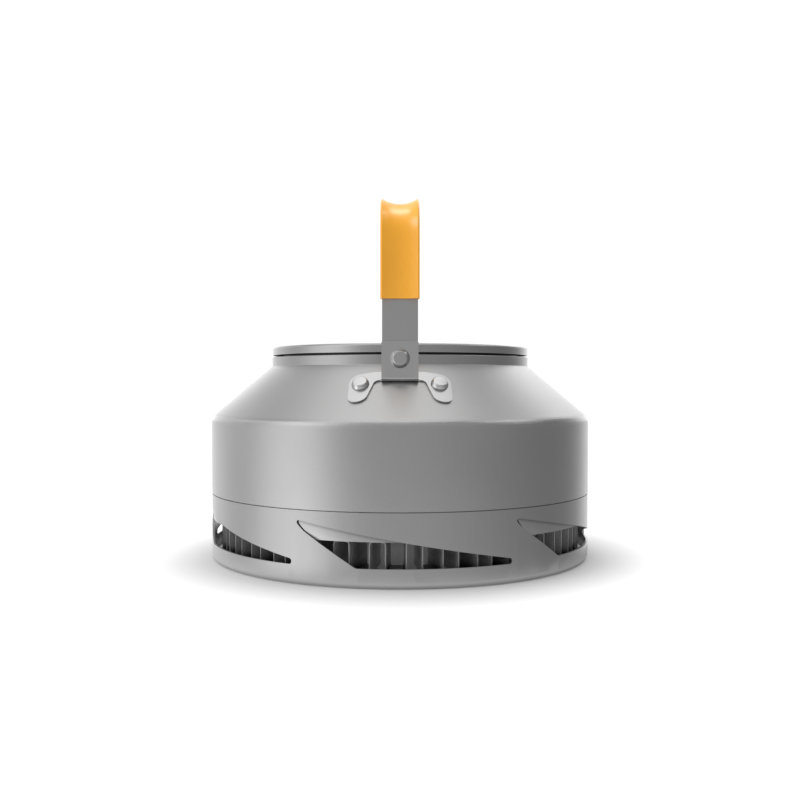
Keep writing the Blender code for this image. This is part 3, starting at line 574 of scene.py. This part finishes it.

# The painted crease shade reads how near a point of the flap is to the crease, and nothing on the wall is
wall.loops.layers.float.new("crease")
crease_shade_mark = flap.loops.layers.float.new("crease")
for face in flap.faces:
    for corner in face.loops:
        away = (corner.vert.co - crease_start).dot(from_crease)
        corner[crease_shade_mark] = max(0.0, 1.0 - max(0.0, away) / crease_reach)
for point in flap.verts:
    away = max(0.0, (point.co - crease_start).dot(from_crease))
    depth = flap_step * min(1.0, away / flap_step_width) + flap_sink * (away / flap_reach) ** flap_curl
    place = rolled(point.co)
    point.co = place - Vector((place.x, place.y, 0.0)).normalized() * depth
skirt_mesh = bmesh.new()
bmesh.ops.dissolve_limit(wall, angle_limit=math.radians(0.3), use_dissolve_boundaries=False,
                         verts=wall.verts, edges=wall.edges)
for pattern in (wall, flap):
    part = bpy.data.meshes.new("pattern")
    pattern.to_mesh(part)
    pattern.free()
    skirt_mesh.from_mesh(part)
bmesh.ops.spin(skirt_mesh, geom=skirt_mesh.verts[:] + skirt_mesh.edges[:] + skirt_mesh.faces[:],
               axis=(0, 0, 1), cent=(0, 0, 0), angle=2 * math.pi * (1 - 1 / slot_count),
               steps=slot_count - 1, use_duplicate=True)
bmesh.ops.remove_doubles(skirt_mesh, verts=skirt_mesh.verts, dist=sheet_weld)
bmesh.ops.recalc_face_normals(skirt_mesh, faces=skirt_mesh.faces)
skirt_mesh.normal_update()
outward_area = 0.0
for face in skirt_mesh.faces:
    middle = face.calc_center_median()
    outward_area += face.calc_area() * face.normal.dot(Vector((middle.x, middle.y, 0.0)))
if outward_area < 0.0:
    bmesh.ops.reverse_faces(skirt_mesh, faces=skirt_mesh.faces)
skirt = make_piece("slotted_skirt", skirt_mesh, skirt_metal)
thicken(skirt, skirt_sheet)
fit(skirt, "skirt", "kettle")


# The spout is a short oval tube of the vessel's aluminium, wider at its root. It is welded
# to the cone over a hole, outside the front bracket.
spout_length = 0.0137
spout_root_size = (0.0090, 0.0060)
spout_tip_size = (0.0056, 0.0049)
spout_wall = 0.0010
spout_flare = 1.6
spout_rings = 10
spout_sink = 0.0003


def spout_ring(share, inset):
    """Half width and half depth of the spout at a share of its length."""
    flare = (1 - share) ** spout_flare
    wide = spout_tip_size[0] + (spout_root_size[0] - spout_tip_size[0]) * flare - inset
    deep = spout_tip_size[1] + (spout_root_size[1] - spout_tip_size[1]) * flare - inset
    return wide, deep


tube = bmesh.new()
ring = bmesh.ops.create_circle(tube, segments=64, radius=1.0)["verts"]
wide, deep = spout_ring(0.0, 0.0)
bmesh.ops.scale(tube, vec=(wide, deep, 1.0), verts=ring)
edges = tube.edges[:]
size = (wide, deep)
levels = [(step / spout_rings, 0.0) for step in range(1, spout_rings + 1)]
levels += [(1.0, spout_wall)] + [(step / spout_rings, spout_wall) for step in range(spout_rings - 1, -1, -1)]
height = 0.0
rings = [ring]
for share, inset in levels:
    grown = bmesh.ops.extrude_edge_only(tube, edges=edges)["geom"]
    ring = [item for item in grown if isinstance(item, bmesh.types.BMVert)]
    edges = [item for item in grown if isinstance(item, bmesh.types.BMEdge)
             and item.verts[0] in ring and item.verts[1] in ring]
    wide, deep = spout_ring(share, inset)
    bmesh.ops.scale(tube, vec=(wide / size[0], deep / size[1], 1.0), verts=ring)
    bmesh.ops.translate(tube, vec=(0, 0, share * spout_length - height), verts=ring)
    size, height = (wide, deep), share * spout_length
    rings.append(ring)
root_edges = [edge for edge in tube.edges if edge.is_boundary and edge not in edges]
bmesh.ops.bridge_loops(tube, edges=edges + root_edges)
bmesh.ops.transform(tube, matrix=spout_turn, verts=tube.verts)

# Both rims of the root go down along the spout until they lie just inside the cone's sheet
for point in rings[0] + rings[-1]:
    drop = 0.0
    for _ in range(20):
        here = point.co + spout_axis * drop
        clear = (here.z - cone_height(math.hypot(here.x, here.y))) * math.cos(cone_angle)
        drop -= (clear + spout_sink) * 0.9
    point.co = point.co + spout_axis * drop
bmesh.ops.recalc_face_normals(tube, faces=tube.faces)
spout = make_piece("pouring_tube", tube, anodised)
fit(spout, "spout", "kettle")


# Two brackets of bare aluminium sheet hold the handle. Each has two wings, which are riveted
# to the cone, and an ear between them, which is folded up from the wings' lower side.
gap = 0.0003
bracket_sheet = 0.0006
strap_half = 0.0063
ear_half = 0.00645
ear_face = 0.0608
ear_rise = 0.0060
ear_corner = 0.0006
fold_radius = 0.0012
fold_steps = 12
wing_lift = 0.00008
bracket_edge = 0.0001
wing_bend_pitch = 0.001
wing_bends = 18
head_gap = 0.00002
pivot_bore = 0.0023
rivet_bore = 0.0018
wing_rivet_x = 0.0137
wing_rivet_slope = 0.0119
notch_slope = 0.0095
wing_corners = [
    (0.0002, 0.0050, 0.0),
    (0.0090, 0.0051, 0.0060),
    (0.0176, 0.0074, 0.0054),
    (0.01805, 0.0211, 0.0021),
    (0.0123, 0.0211, 0.0046),
    (0.0087, 0.0095, 0.0022),
    (0.0068, 0.0095, 0.0),
]
pivot_height = next(joint["pos_m"][2] for joint in frame["joints"] if joint["name"] == "handle_fold")
bracket_metal = metal_finish("satin aluminium", grey(0.49), grey(0.53), (0.20, 0.24), 0.000001)
fold_turn = math.pi / 2 + cone_angle
fold_arc = fold_radius * fold_turn
fold_y = ear_face - fold_radius
fold_edge_y = fold_y - fold_radius * math.sin(cone_angle)
fold_slope = (fold_edge_y - wing_lift * math.sin(cone_angle) - collar_radius) / math.cos(cone_angle)


def on_cone(x, slope, lift):
    """The point across at x and down the cone by slope, raised off it by lift, at the spout's side."""
    radius = collar_radius + slope * math.cos(cone_angle) + lift * math.sin(cone_angle)
    height = cone_top - slope * math.sin(cone_angle) + lift * math.cos(cone_angle)
    return Vector((x, math.sqrt(radius ** 2 - x ** 2), height))


fold_z = on_cone(0.0, fold_slope, wing_lift).z + fold_radius * math.cos(cone_angle)
ear_end = fold_slope + fold_arc + pivot_height + ear_rise - fold_z


def folded(place):
    """Where a point of the bracket's flat pattern comes to lie: on the cone, fold or ear."""
    past = place.z - fold_slope
    if abs(place.x) > ear_half + sheet_weld or past <= 0.0:
        return on_cone(place.x, place.z, wing_lift)
    edge = on_cone(place.x, fold_slope, wing_lift)
    turn = min(past / fold_radius, fold_turn)
    bow = (edge.y - fold_edge_y) * (1 - turn / fold_turn)
    angle = turn - math.pi / 2 - cone_angle
    up = fold_z + fold_radius * math.sin(angle) + max(past - fold_arc, 0.0)
    return Vector((place.x, fold_y + fold_radius * math.cos(angle) + bow, up))


def drill(mesh, x, z, radius, steps):
    """Add a round hole's edge to a flat pattern."""
    turn = Matrix.Translation((x, 0.0, z)) @ Matrix.Rotation(math.pi / 2, 4, "X")
    bmesh.ops.create_circle(mesh, segments=steps, radius=radius, matrix=turn)


def soften(piece, width):
    """Break the sharp edges of a piece."""
    edge = piece.modifiers.new("edges", "BEVEL")
    edge.width = width
    edge.segments = 2
    edge.limit_method = "ANGLE"
    edge.angle_limit = math.radians(50)
    edge.harden_normals = False


def bracket_piece(name, turn):
    """One bracket, turned about the kettle's axis."""
    mesh = bmesh.new()
    right = wing_corners + [(ear_half, notch_slope, 0.0), (ear_half, ear_end, ear_corner)]
    left = [(-x, z, fillet) for x, z, fillet in reversed(right)]
    draw_line(mesh, right + left, steps=8, closed=True)
    drill(mesh, 0.0, fold_slope + fold_arc + pivot_height - fold_z, pivot_bore, 32)
    for x in (-wing_rivet_x, wing_rivet_x):
        drill(mesh, x, wing_rivet_slope, rivet_bore, 24)
    bmesh.ops.triangle_fill(mesh, edges=mesh.edges[:], use_beauty=True, normal=(0, -1, 0))
    for step in range(fold_steps + 1):
        cut_sheet(mesh, (0, 0, fold_slope + fold_arc * step / fold_steps), (0, 0, 1))
    for step in range(-wing_bends, wing_bends + 1):
        cut_sheet(mesh, (step * wing_bend_pitch, 0, 0), (1, 0, 0))
    for point in mesh.verts:
        point.co = folded(point.co)
    mesh.normal_update()
    outward_area = 0.0
    for face in mesh.faces:
        seen_side = Vector((0, -1, 0)) if face.calc_center_median().z > fold_z else Vector((0, 0, 1))
        outward_area += face.calc_area() * face.normal.dot(seen_side)
    if outward_area < 0.0:
        bmesh.ops.reverse_faces(mesh, faces=mesh.faces)
    bmesh.ops.rotate(mesh, verts=mesh.verts, cent=(0, 0, 0), matrix=Matrix.Rotation(turn, 3, "Z"))
    piece = make_piece(name, mesh, bracket_metal)
    thicken(piece, bracket_sheet, outwards=True)
    soften(piece, bracket_edge)
    return piece


fit(bracket_piece("spout_side_bracket", 0.0), "front_bracket", "kettle")
fit(bracket_piece("back_bracket", math.pi), "rear_bracket", "kettle")


# Solid aluminium rivets hold the wings. Each has a flat head with a rolled edge outside,
# and is set to a low tail inside the vessel.
rivet_head = 0.00310
rivet_face = 0.00250
rivet_rise = 0.0016
rivet_shank = 0.0015
rivet_tail = 0.0024
rivet_tail_rise = 0.0009
rivet_stack = body_wall + gap + wing_lift + bracket_sheet + head_gap
rivet_steps = 64
fine_grain = 0.00015
rivet_metal = metal_finish("rivet aluminium", grey(0.53), grey(0.58), (0.22, 0.26), 0.000001,
                           grain_size=fine_grain)


def set_rivet(mesh, head, face, rise, shank, stack, tail, tail_rise):
    """Spin a set rivet about Z, with its tail's seat at zero."""
    draw_line(mesh, [
        (0.0, -tail_rise, 0.0),
        (tail, -tail_rise, tail_rise * 0.5),
        (tail, 0.0, 0.0),
        (shank, 0.0, 0.0),
        (shank, stack, 0.0),
        (head, stack, 0.0),
        (head, stack + rise * 0.20, rise * 0.2),
        (face, stack + rise, rise * 0.3),
        (0.0, stack + rise, 0.0),
    ], steps=5)
    spin_line(mesh, steps=rivet_steps)


for end, side in (("front", 1), ("rear", -1)):
    for hand, x in (("left", -wing_rivet_x), ("right", wing_rivet_x)):
        seat = on_cone(x, wing_rivet_slope, 0.0)
        seat.y *= side
        out = Vector((seat.x, seat.y, 0.0)).normalized() * math.sin(cone_angle)
        axis = out + Vector((0, 0, math.cos(cone_angle)))
        mesh = bmesh.new()
        set_rivet(mesh, rivet_head, rivet_face, rivet_rise, rivet_shank, rivet_stack, rivet_tail,
                  rivet_tail_rise)
        turn = axis.to_track_quat("Z", "Y").to_matrix().to_4x4()
        start = Matrix.Translation(seat - axis * (body_wall + gap))
        bmesh.ops.transform(mesh, matrix=start @ turn, verts=mesh.verts)
        rivet = make_piece(f"{end}_{hand}_wing_rivet", mesh, rivet_metal)
        fit(rivet, f"{end}_{hand}_rivet", "kettle")


# The handle turns on two larger aluminium rivets with flat heads, hard anodised like the
# vessel. Each goes through a bracket's ear, the strap and a washer, and is set behind them.
pivot_head = 0.00345
pivot_face = 0.00240
pivot_rise = 0.0017
pivot_shank = 0.0020
pivot_tail = 0.0030
pivot_tail_rise = 0.0012
strap_sheet = 0.0010
washer_sheet = 0.0005
pivot_metal = metal_finish("anodised rivet", grey(0.46), grey(0.50), (0.24, 0.28), 0.000001,
                           grain_size=fine_grain)
pivot_stack = bracket_sheet + strap_sheet + washer_sheet + 3 * gap + head_gap

for end, side in (("front", 1), ("rear", -1)):
    mesh = bmesh.new()
    set_rivet(mesh, pivot_head, pivot_face, pivot_rise, pivot_shank, pivot_stack, pivot_tail, pivot_tail_rise)
    start = Matrix.Translation((0.0, side * (ear_face + head_gap - pivot_stack), pivot_height))
    bmesh.ops.transform(mesh, matrix=start @ Matrix.Rotation(-side * math.pi / 2, 4, "X"), verts=mesh.verts)
    rivet = make_piece(f"{end}_handle_rivet", mesh, pivot_metal)
    fit(rivet, f"{end}_pivot_rivet", "kettle")


# Plain steel washers keep the set ends of the handle's rivets off the strap. The screw and
# the washer under the lid are the same steel. These small turned pieces stay as they are.
steel = metal_finish("turned steel", (0.50, 0.50, 0.51, 1.0), (0.58, 0.58, 0.59, 1.0), (0.22, 0.32), 0.000003)
for node in ("front_pivot_washer", "rear_pivot_washer", "knob_washer", "knob_screw"):
    frame["nodes"][node].material_slots[0].material = steel


# The handle's strap is a flat aluminium bar with round ends, bent to an arch, drilled for
# its rivets and anodised with the vessel.
strap_edge = 0.00012
handle_rise = 0.05375
handle_bend = 0.0120
strap_centre = ear_face - bracket_sheet - gap - strap_sheet / 2
handle_top = pivot_height + handle_rise
bend_y = strap_centre - handle_bend
bend_z = handle_top - handle_bend
bend_arc = handle_bend * math.pi / 2
handle_half = bend_y + bend_arc + bend_z - pivot_height


def on_arch(distance):
    """Place and outward direction on the arch, at a distance along the strap from its top."""
    side = math.copysign(1.0, distance)
    past = abs(distance) - bend_y
    if past <= 0.0:
        return Vector((0.0, distance, handle_top)), Vector((0, 0, 1))
    turn = min(past / handle_bend, math.pi / 2)
    outward = Vector((0.0, side * math.sin(turn), math.cos(turn)))
    place = Vector((0.0, side * bend_y, bend_z)) + outward * handle_bend
    place.z -= max(past - bend_arc, 0.0)
    return place, outward


strap_metal = metal_finish("anodised bar", grey(0.42), grey(0.50), (0.30, 0.38), 0.000006)

bar = bmesh.new()
round_end = strap_half * 0.999
draw_line(bar, [
    (-strap_half, -handle_half - strap_half, round_end),
    (strap_half, -handle_half - strap_half, round_end),
    (strap_half, handle_half + strap_half, round_end),
    (-strap_half, handle_half + strap_half, round_end),
], steps=12, closed=True)
for end in (-handle_half, handle_half):
    drill(bar, 0.0, end, pivot_bore, 32)
bmesh.ops.triangle_fill(bar, edges=bar.edges[:], use_beauty=True, normal=(0, -1, 0))
bend_steps = 16
for step in range(bend_steps + 1):
    for side in (-1, 1):
        cut_sheet(bar, (0, 0, side * (bend_y + bend_arc * step / bend_steps)), (0, 0, 1))
for end in (handle_half - 2 * strap_half, 2 * strap_half - handle_half):
    cut_sheet(bar, (0, 0, end), (0, 0, 1))
for point in bar.verts:
    place, outward = on_arch(point.co.z)
    place += outward * strap_sheet / 2
    place.x = point.co.x
    point.co = place
bar.normal_update()
if max(bar.faces, key=lambda face: face.calc_center_median().z).normal.z < 0.0:
    bmesh.ops.reverse_faces(bar, faces=bar.faces)
strap = make_piece("bail_strap", bar, strap_metal)
thicken(strap, strap_sheet)
soften(strap, strap_edge)
fit(strap, "handle_strap", "handle")


# The grip is a sleeve of soft orange silicone, moulded round the strap's top and both of
# its bends. It has a shallow groove along its outside and a rounded palm side within.
grip_leg = 0.0210
grip_half = 0.0068
grip_ridge = 0.0038
grip_groove = 0.0019
grip_palm = 0.0013
grip_edge = 0.0003
ridge_edge = 0.0005
groove_share = 0.92
deep_orange = (0.765, 0.335, 0.0205, 1.0)
light_orange = (0.835, 0.385, 0.0270, 1.0)

silicone, silicone_tree, silicone_shader = new_material("orange silicone")
silicone_shader.inputs["Specular IOR Level"].default_value = 0.5
silicone_shader.inputs["Subsurface Weight"].default_value = 0.0
skin = use_group(silicone_tree, grain, grain_size=0.0005, mottle_size=0.012)
feed(silicone_shader.inputs["Base Color"], mixed(silicone_tree, skin["Mottle"], deep_orange, light_orange))
feed(silicone_shader.inputs["Roughness"], ranged(silicone_tree, skin["Grain"], 0.0, 1.0, 0.26, 0.34))
feed(silicone_shader.inputs["Normal"], bumped(silicone_tree, skin["Grain"], 0.000008))

sleeve = bmesh.new()
groove_half = grip_half * groove_share
groove_steps = 12
groove = []
for step in range(groove_steps + 1):
    share = 2 * step / groove_steps - 1
    groove.append((share * groove_half, grip_groove + (grip_ridge - grip_groove) * share ** 2, 0.0))
palm_side = [
    (grip_half, grip_ridge - ridge_edge, 0.0),
    (grip_half, -grip_palm, 0.0010),
]
draw_line(sleeve, groove + palm_side + [(-x, z, fillet) for x, z, fillet in reversed(palm_side)],
          steps=8, closed=True)
draw_line(sleeve, [
    (-strap_half - gap, strap_sheet / 2 + gap, 0.0),
    (strap_half + gap, strap_sheet / 2 + gap, 0.0),
    (strap_half + gap, -strap_sheet / 2 - gap, 0.0),
    (-strap_half - gap, -strap_sheet / 2 - gap, 0.0),
], closed=True)
bmesh.ops.triangle_fill(sleeve, edges=sleeve.edges[:], use_beauty=True, normal=(0, -1, 0))


def across_arch(distance):
    """The matrix that stands a section, drawn in the XZ plane, across the arch."""
    place, outward = on_arch(distance)
    across = Vector((1, 0, 0))
    turn = Matrix((across, outward.cross(across), outward)).transposed().to_4x4()
    return Matrix.Translation(place) @ turn


grip_end = bend_y + bend_arc + grip_leg
half_stations = [bend_y + bend_arc * step / bend_steps for step in range(bend_steps + 1)] + [grip_end]
stations = [-distance for distance in reversed(half_stations)] + half_stations
cap = sleeve.faces[:]
bmesh.ops.transform(sleeve, matrix=across_arch(stations[0]), verts=sleeve.verts)
for distance, following in zip(stations, stations[1:]):
    grown = bmesh.ops.extrude_face_region(sleeve, geom=cap)["geom"]
    if distance != stations[0]:
        bmesh.ops.delete(sleeve, geom=cap, context="FACES_ONLY")
    cap = [item for item in grown if isinstance(item, bmesh.types.BMFace)]
    moved = [item for item in grown if isinstance(item, bmesh.types.BMVert)]
    step = across_arch(following) @ across_arch(distance).inverted()
    bmesh.ops.transform(sleeve, matrix=step, verts=moved)
bmesh.ops.dissolve_limit(sleeve, angle_limit=math.radians(0.2), use_dissolve_boundaries=False,
                         verts=sleeve.verts, edges=sleeve.edges)
bmesh.ops.recalc_face_normals(sleeve, faces=sleeve.faces)
grip = make_piece("soft_grip", sleeve, silicone, crease=40)
soften(grip, grip_edge)
fit(grip, "handle_grip", "handle")


# The lid is a pressing of the vessel's metal. Its bead stands a little off the collar, its
# seat rests on the mouth, and its dish goes down inside the neck.
lid_sheet = 0.0009
plug_clearance = 0.0005
lid_seat = 0.0005
plug_depth = 0.0072
shadow_gap = 0.0006
bead_height = 0.0034
screw_bore = 0.0021
seat_radius = mouth_radius + lid_seat
plug_radius = mouth_radius - plug_clearance
bead_radius = collar_radius + 0.00005
seat_height = collar_top + gap
bead_under = collar_top + shadow_gap
bead_top = bead_under + bead_height
plug_bottom = seat_height - plug_depth
dish = plug_bottom + lid_sheet

pressing = bmesh.new()
draw_line(pressing, [
    (screw_bore, dish, 0.0),
    (plug_radius - lid_sheet, dish, 0.0014),
    (plug_radius - lid_sheet, bead_top - 0.0012, 0.0008),
    (seat_radius, bead_top, 0.0007),
    (bead_radius, bead_top, 0.0012),
    (bead_radius, bead_under, 0.0003),
    (seat_radius, bead_under, 0.0),
    (seat_radius, seat_height, 0.0),
    (plug_radius, seat_height, 0.0),
    (plug_radius, plug_bottom, 0.0022),
    (screw_bore, plug_bottom, 0.0),
    (screw_bore, dish, 0.0),
])
spin_line(pressing)
lid_metal = metal_finish("lid anodising", grey(0.37), grey(0.47), (0.28, 0.36), 0.00001)
# Painted shade: the lid below its bead's underside, in the gap, the plug and the dish, is darkened to a fifth
# or less
shade_by_height(lid_metal, [
    (bead_under - 0.0003, bead_under, 0.15, 0.20),
    (bead_under, bead_under + 0.0001, 1.0, 5.0),
])
lid = make_piece("dished_lid", pressing, lid_metal)
fit(lid, "lid", "lid")


# The lid's knob is a low mushroom of the same silicone as the grip, moulded in one piece.
# A screw holds it from below, through a washer and the dish.
knob_radius = 0.0120
knob_neck = 0.0062
knob_height = 0.0108
knob_cap = 0.0040
knob_foot = dish + gap
knob_top = knob_foot + knob_height
knob_under = knob_top - knob_cap
screw_length = 0.0050

mushroom = bmesh.new()
draw_line(mushroom, [
    (0.0, knob_foot + screw_length + gap, 0.0),
    (screw_bore, knob_foot + screw_length + gap, 0.0),
    (screw_bore, knob_foot, 0.0),
    (knob_neck + 0.0012, knob_foot, 0.0004),
    (knob_neck, knob_under - 0.0012, 0.0020),
    (knob_radius, knob_under, 0.0010),
    (knob_radius, knob_top, 0.0018),
    (0.0, knob_top, 0.0),
])
spin_line(mushroom, steps=96)
knob = make_piece("mushroom_knob", mushroom, silicone)
fit(knob, "lid_knob", "lid")


# The kettle stands on a plain pale floor, in a pale room. Painted light: the floor glows, not at
# all next to the kettle and more a little way off, so that the shade stays close to the kettle.
floor_size = 6.0
glow_start = 0.0768
glow_end = 0.1080
glow_level = 0.45
floor_mesh = bmesh.new()
bmesh.ops.create_grid(floor_mesh, x_segments=1, y_segments=1, size=floor_size)
pale, pale_tree, pale_shader = new_material("pale floor")
pale_shader.inputs["Base Color"].default_value = grey(0.90)
pale_shader.inputs["Roughness"].default_value = 0.9
pale_shader.inputs["Specular IOR Level"].default_value = 0.0
pale_shader.inputs["Emission Strength"].default_value = 1.0
floor_distance = from_axis(pale_tree, own_place(pale_tree))
feed(pale_shader.inputs["Emission Color"],
     ranged(pale_tree, floor_distance, glow_start, glow_end, 0.0, glow_level))
floor = make_piece("floor", floor_mesh, pale)
floor.visible_glossy = False

# Only polished metal sees this disc: it stands in for the kettle's own shadow on the floor
shadow_radius = 0.0880
shadow_depth = 0.0002
shadow_start = 0.0735
shadow_end = 0.0772
shadow_levels = (0.30, 0.82)
side_reach = 0.08
side_levels = (1.25, 0.65)
shadow_mesh = bmesh.new()
bmesh.ops.create_circle(shadow_mesh, cap_ends=True, segments=96, radius=shadow_radius,
                        matrix=Matrix.Translation((0.0, 0.0, -shadow_depth)))
dusk, dusk_tree, dusk_shader = new_material("floor in shadow")
dusk_shader.inputs["Base Color"].default_value = grey(0.0)
dusk_shader.inputs["Specular IOR Level"].default_value = 0.0
dusk_shader.inputs["Emission Strength"].default_value = 1.0
dusk_place = own_place(dusk_tree)
fade = ranged(dusk_tree, from_axis(dusk_tree, dusk_place), shadow_start, shadow_end, *shadow_levels)
side_light = ranged(dusk_tree, part_of(dusk_tree, dusk_place, "X"), -side_reach, side_reach, *side_levels)
feed(dusk_shader.inputs["Emission Color"], reckon(dusk_tree, "MULTIPLY", fade, side_light))
shadow = make_piece("floor_shadow", shadow_mesh, dusk)
shadow.visible_camera = False
shadow.visible_diffuse = False
shadow.visible_shadow = False


# Soft lamps hang round the kettle. Three light the silicone only, and put their gloss on it.
# The others brighten the shoulder's ridge and leave out the fins, which the skirt shades.
lamp_distance = 1.2
lamp_aim = 0.06


def soft_box(name, bearing, height, width, tall, radiance, tilt=0.0):
    """A lamp that shines evenly on the kettle. Bearings are degrees clockwise from the camera."""
    turn, rise = math.radians(bearing), math.radians(height)
    away = Vector((math.sin(turn) * math.cos(rise), -math.cos(turn) * math.cos(rise), math.sin(rise)))
    lamp = bpy.data.lights.new(name, "AREA")
    lamp.shape = "RECTANGLE"
    lamp.size = width
    lamp.size_y = tall
    lamp.energy = radiance * math.pi * width * tall
    lamp_object = bpy.data.objects.new(name, lamp)
    lamp_object.location = away * lamp_distance + Vector((0, 0, lamp_aim))
    roll = Matrix.Rotation(math.radians(tilt), 3, "Z")
    lamp_object.rotation_euler = (away.to_track_quat("Z", "Y").to_matrix() @ roll).to_euler()
    bpy.context.scene.collection.objects.link(lamp_object)
    return lamp_object


overhead = soft_box("overhead lamp", 180, 85, 0.85, 0.40, 7.0)
left_lamp = soft_box("left lamp", -62, 44, 0.30, 0.40, 7.0)
right_lamp = soft_box("right lamp", 93, 58, 0.20, 0.24, 5.0)
side_boxes = [
    soft_box("back right box", 148, 33, 0.60, 0.40, 0.95),
    soft_box("high right box", 106, 43, 1.10, 0.50, 0.38),
    soft_box("left strip", -91, 34, 1.10, 0.20, 0.54, tilt=18),
    soft_box("right strip", 88, 49, 0.66, 0.24, 1.05, tilt=-26),
    soft_box("front box", 0, 48, 1.90, 0.40, 0.07),
]
shiny = bpy.data.collections.new("lamps shine on these")
shiny.objects.link(grip)
shiny.objects.link(knob)
for lamp in (overhead, left_lamp, right_lamp):
    lamp.light_linking.receiver_collection = shiny

behind_the_skirt = bpy.data.collections.new("hidden from the side boxes")
behind_the_skirt.objects.link(fin_band)
behind_the_skirt.collection_objects[0].light_linking.link_state = "EXCLUDE"
for box in side_boxes:
    box.light_linking.receiver_collection = behind_the_skirt


# What polished metal shows of the room changes on the way round: its wall is bright at the
# left and behind, and dark at the right. Levels go with degrees clockwise from the camera,
# and with degrees up or down for the front and the back of the room.
room_walls = [(-180, 1.25), (-173, 1.60), (-165, 2.00), (-150, 1.34), (-125, 0.97), (-103, 0.66),
              (-88, 0.94), (-75, 1.32), (-58, 1.42), (-49, 1.28), (-41, 0.80), (-32, 0.57), (0, 0.53),
              (40, 0.43), (75, 0.32), (105, 0.27), (122, 0.36), (140, 1.06), (160, 1.82), (167, 1.95),
              (174, 1.60), (180, 1.25)]
low_heights = [(-90, 0.40), (-70, 0.60), (-55, 0.95), (-42, 1.40), (-25, 1.35), (-12, 1.0)]
front_heights = low_heights + [(0, 0.96), (20, 1.00), (32, 1.00), (45, 0.95), (58, 0.80), (90, 0.80)]
back_heights = low_heights + [(0, 1.02), (20, 0.96), (32, 0.68), (45, 0.62), (58, 0.82), (90, 0.80)]
brightest = 2.0
back_start = -0.1
back_end = 0.3
ceiling_edge = 0.80
ceiling_level = 1.41
ceiling_lean = (-0.05, 0.0, 0.999)
backdrop_level = 1.05

world = bpy.data.worlds.new("studio")
bpy.context.scene.world = world
world.use_nodes = True
studio = world.node_tree
way = studio.nodes.new("ShaderNodeTexCoord").outputs["Generated"]


def light_levels(value, stops, share_of):
    """Light along a value, drawn as a curve through (degrees, level) stops."""
    node = studio.nodes.new("ShaderNodeFloatCurve")
    feed(node.inputs["Value"], value)
    curve = node.mapping.curves[0]
    curve.points[0].location = (0.0, stops[0][1] / brightest)
    curve.points[1].location = (1.0, stops[-1][1] / brightest)
    for degrees, level in stops[1:-1]:
        curve.points.new(share_of(degrees), level / brightest)
    node.mapping.update()
    return node.outputs["Value"]


def share_round(degrees):
    """A bearing's place on the way round the room, from 0 to 1."""
    return (degrees + 180) / 360


def share_up(degrees):
    """A height's place on the way up, from 0 to 1."""
    return (math.sin(math.radians(degrees)) + 1) / 2


way_back = part_of(studio, way, "Y")
bearing = reckon(studio, "ARCTAN2", part_of(studio, way, "X"), reckon(studio, "MULTIPLY", way_back, -1.0))
walls = light_levels(ranged(studio, bearing, -math.pi, math.pi), room_walls, share_round)
wall_light = reckon(studio, "MULTIPLY", walls, brightest ** 2)
upwards = ranged(studio, part_of(studio, way, "Z"), -1.0, 1.0)
by_side = studio.nodes.new("ShaderNodeMix")
feed(by_side.inputs["A"], light_levels(upwards, front_heights, share_up))
feed(by_side.inputs["B"], light_levels(upwards, back_heights, share_up))
feed(by_side.inputs["Factor"], ranged(studio, way_back, back_start, back_end))
wall_at_height = reckon(studio, "MULTIPLY", by_side.outputs["Result"], wall_light)
overhead_share = studio.nodes.new("ShaderNodeVectorMath")
overhead_share.operation = "DOT_PRODUCT"
overhead_share.inputs[1].default_value = ceiling_lean
feed(overhead_share.inputs[0], way)
room_light = studio.nodes.new("ShaderNodeMix")
feed(room_light.inputs["A"], wall_at_height)
feed(room_light.inputs["B"], ceiling_level)
feed(room_light.inputs["Factor"],
     ranged(studio, overhead_share.outputs["Value"], ceiling_edge, 1.0, kind="SMOOTHSTEP"))
room = studio.nodes["Background"]
room.inputs["Color"].default_value = grey(1.0)
feed(room.inputs["Strength"], room_light.outputs["Result"])

# Behind the kettle the camera sees plain white
white = studio.nodes.new("ShaderNodeBackground")
white.inputs["Color"].default_value = grey(1.0)
white.inputs["Strength"].default_value = backdrop_level
path = studio.nodes.new("ShaderNodeLightPath")
choice = studio.nodes.new("ShaderNodeMixShader")
feed(choice.inputs["Fac"], path.outputs["Is Camera Ray"])
feed(choice.inputs[1], room.outputs[0])
feed(choice.inputs[2], white.outputs[0])
feed(studio.nodes["World Output"].inputs["Surface"], choice.outputs[0])
bpy.context.scene.view_settings.view_transform = "Standard"
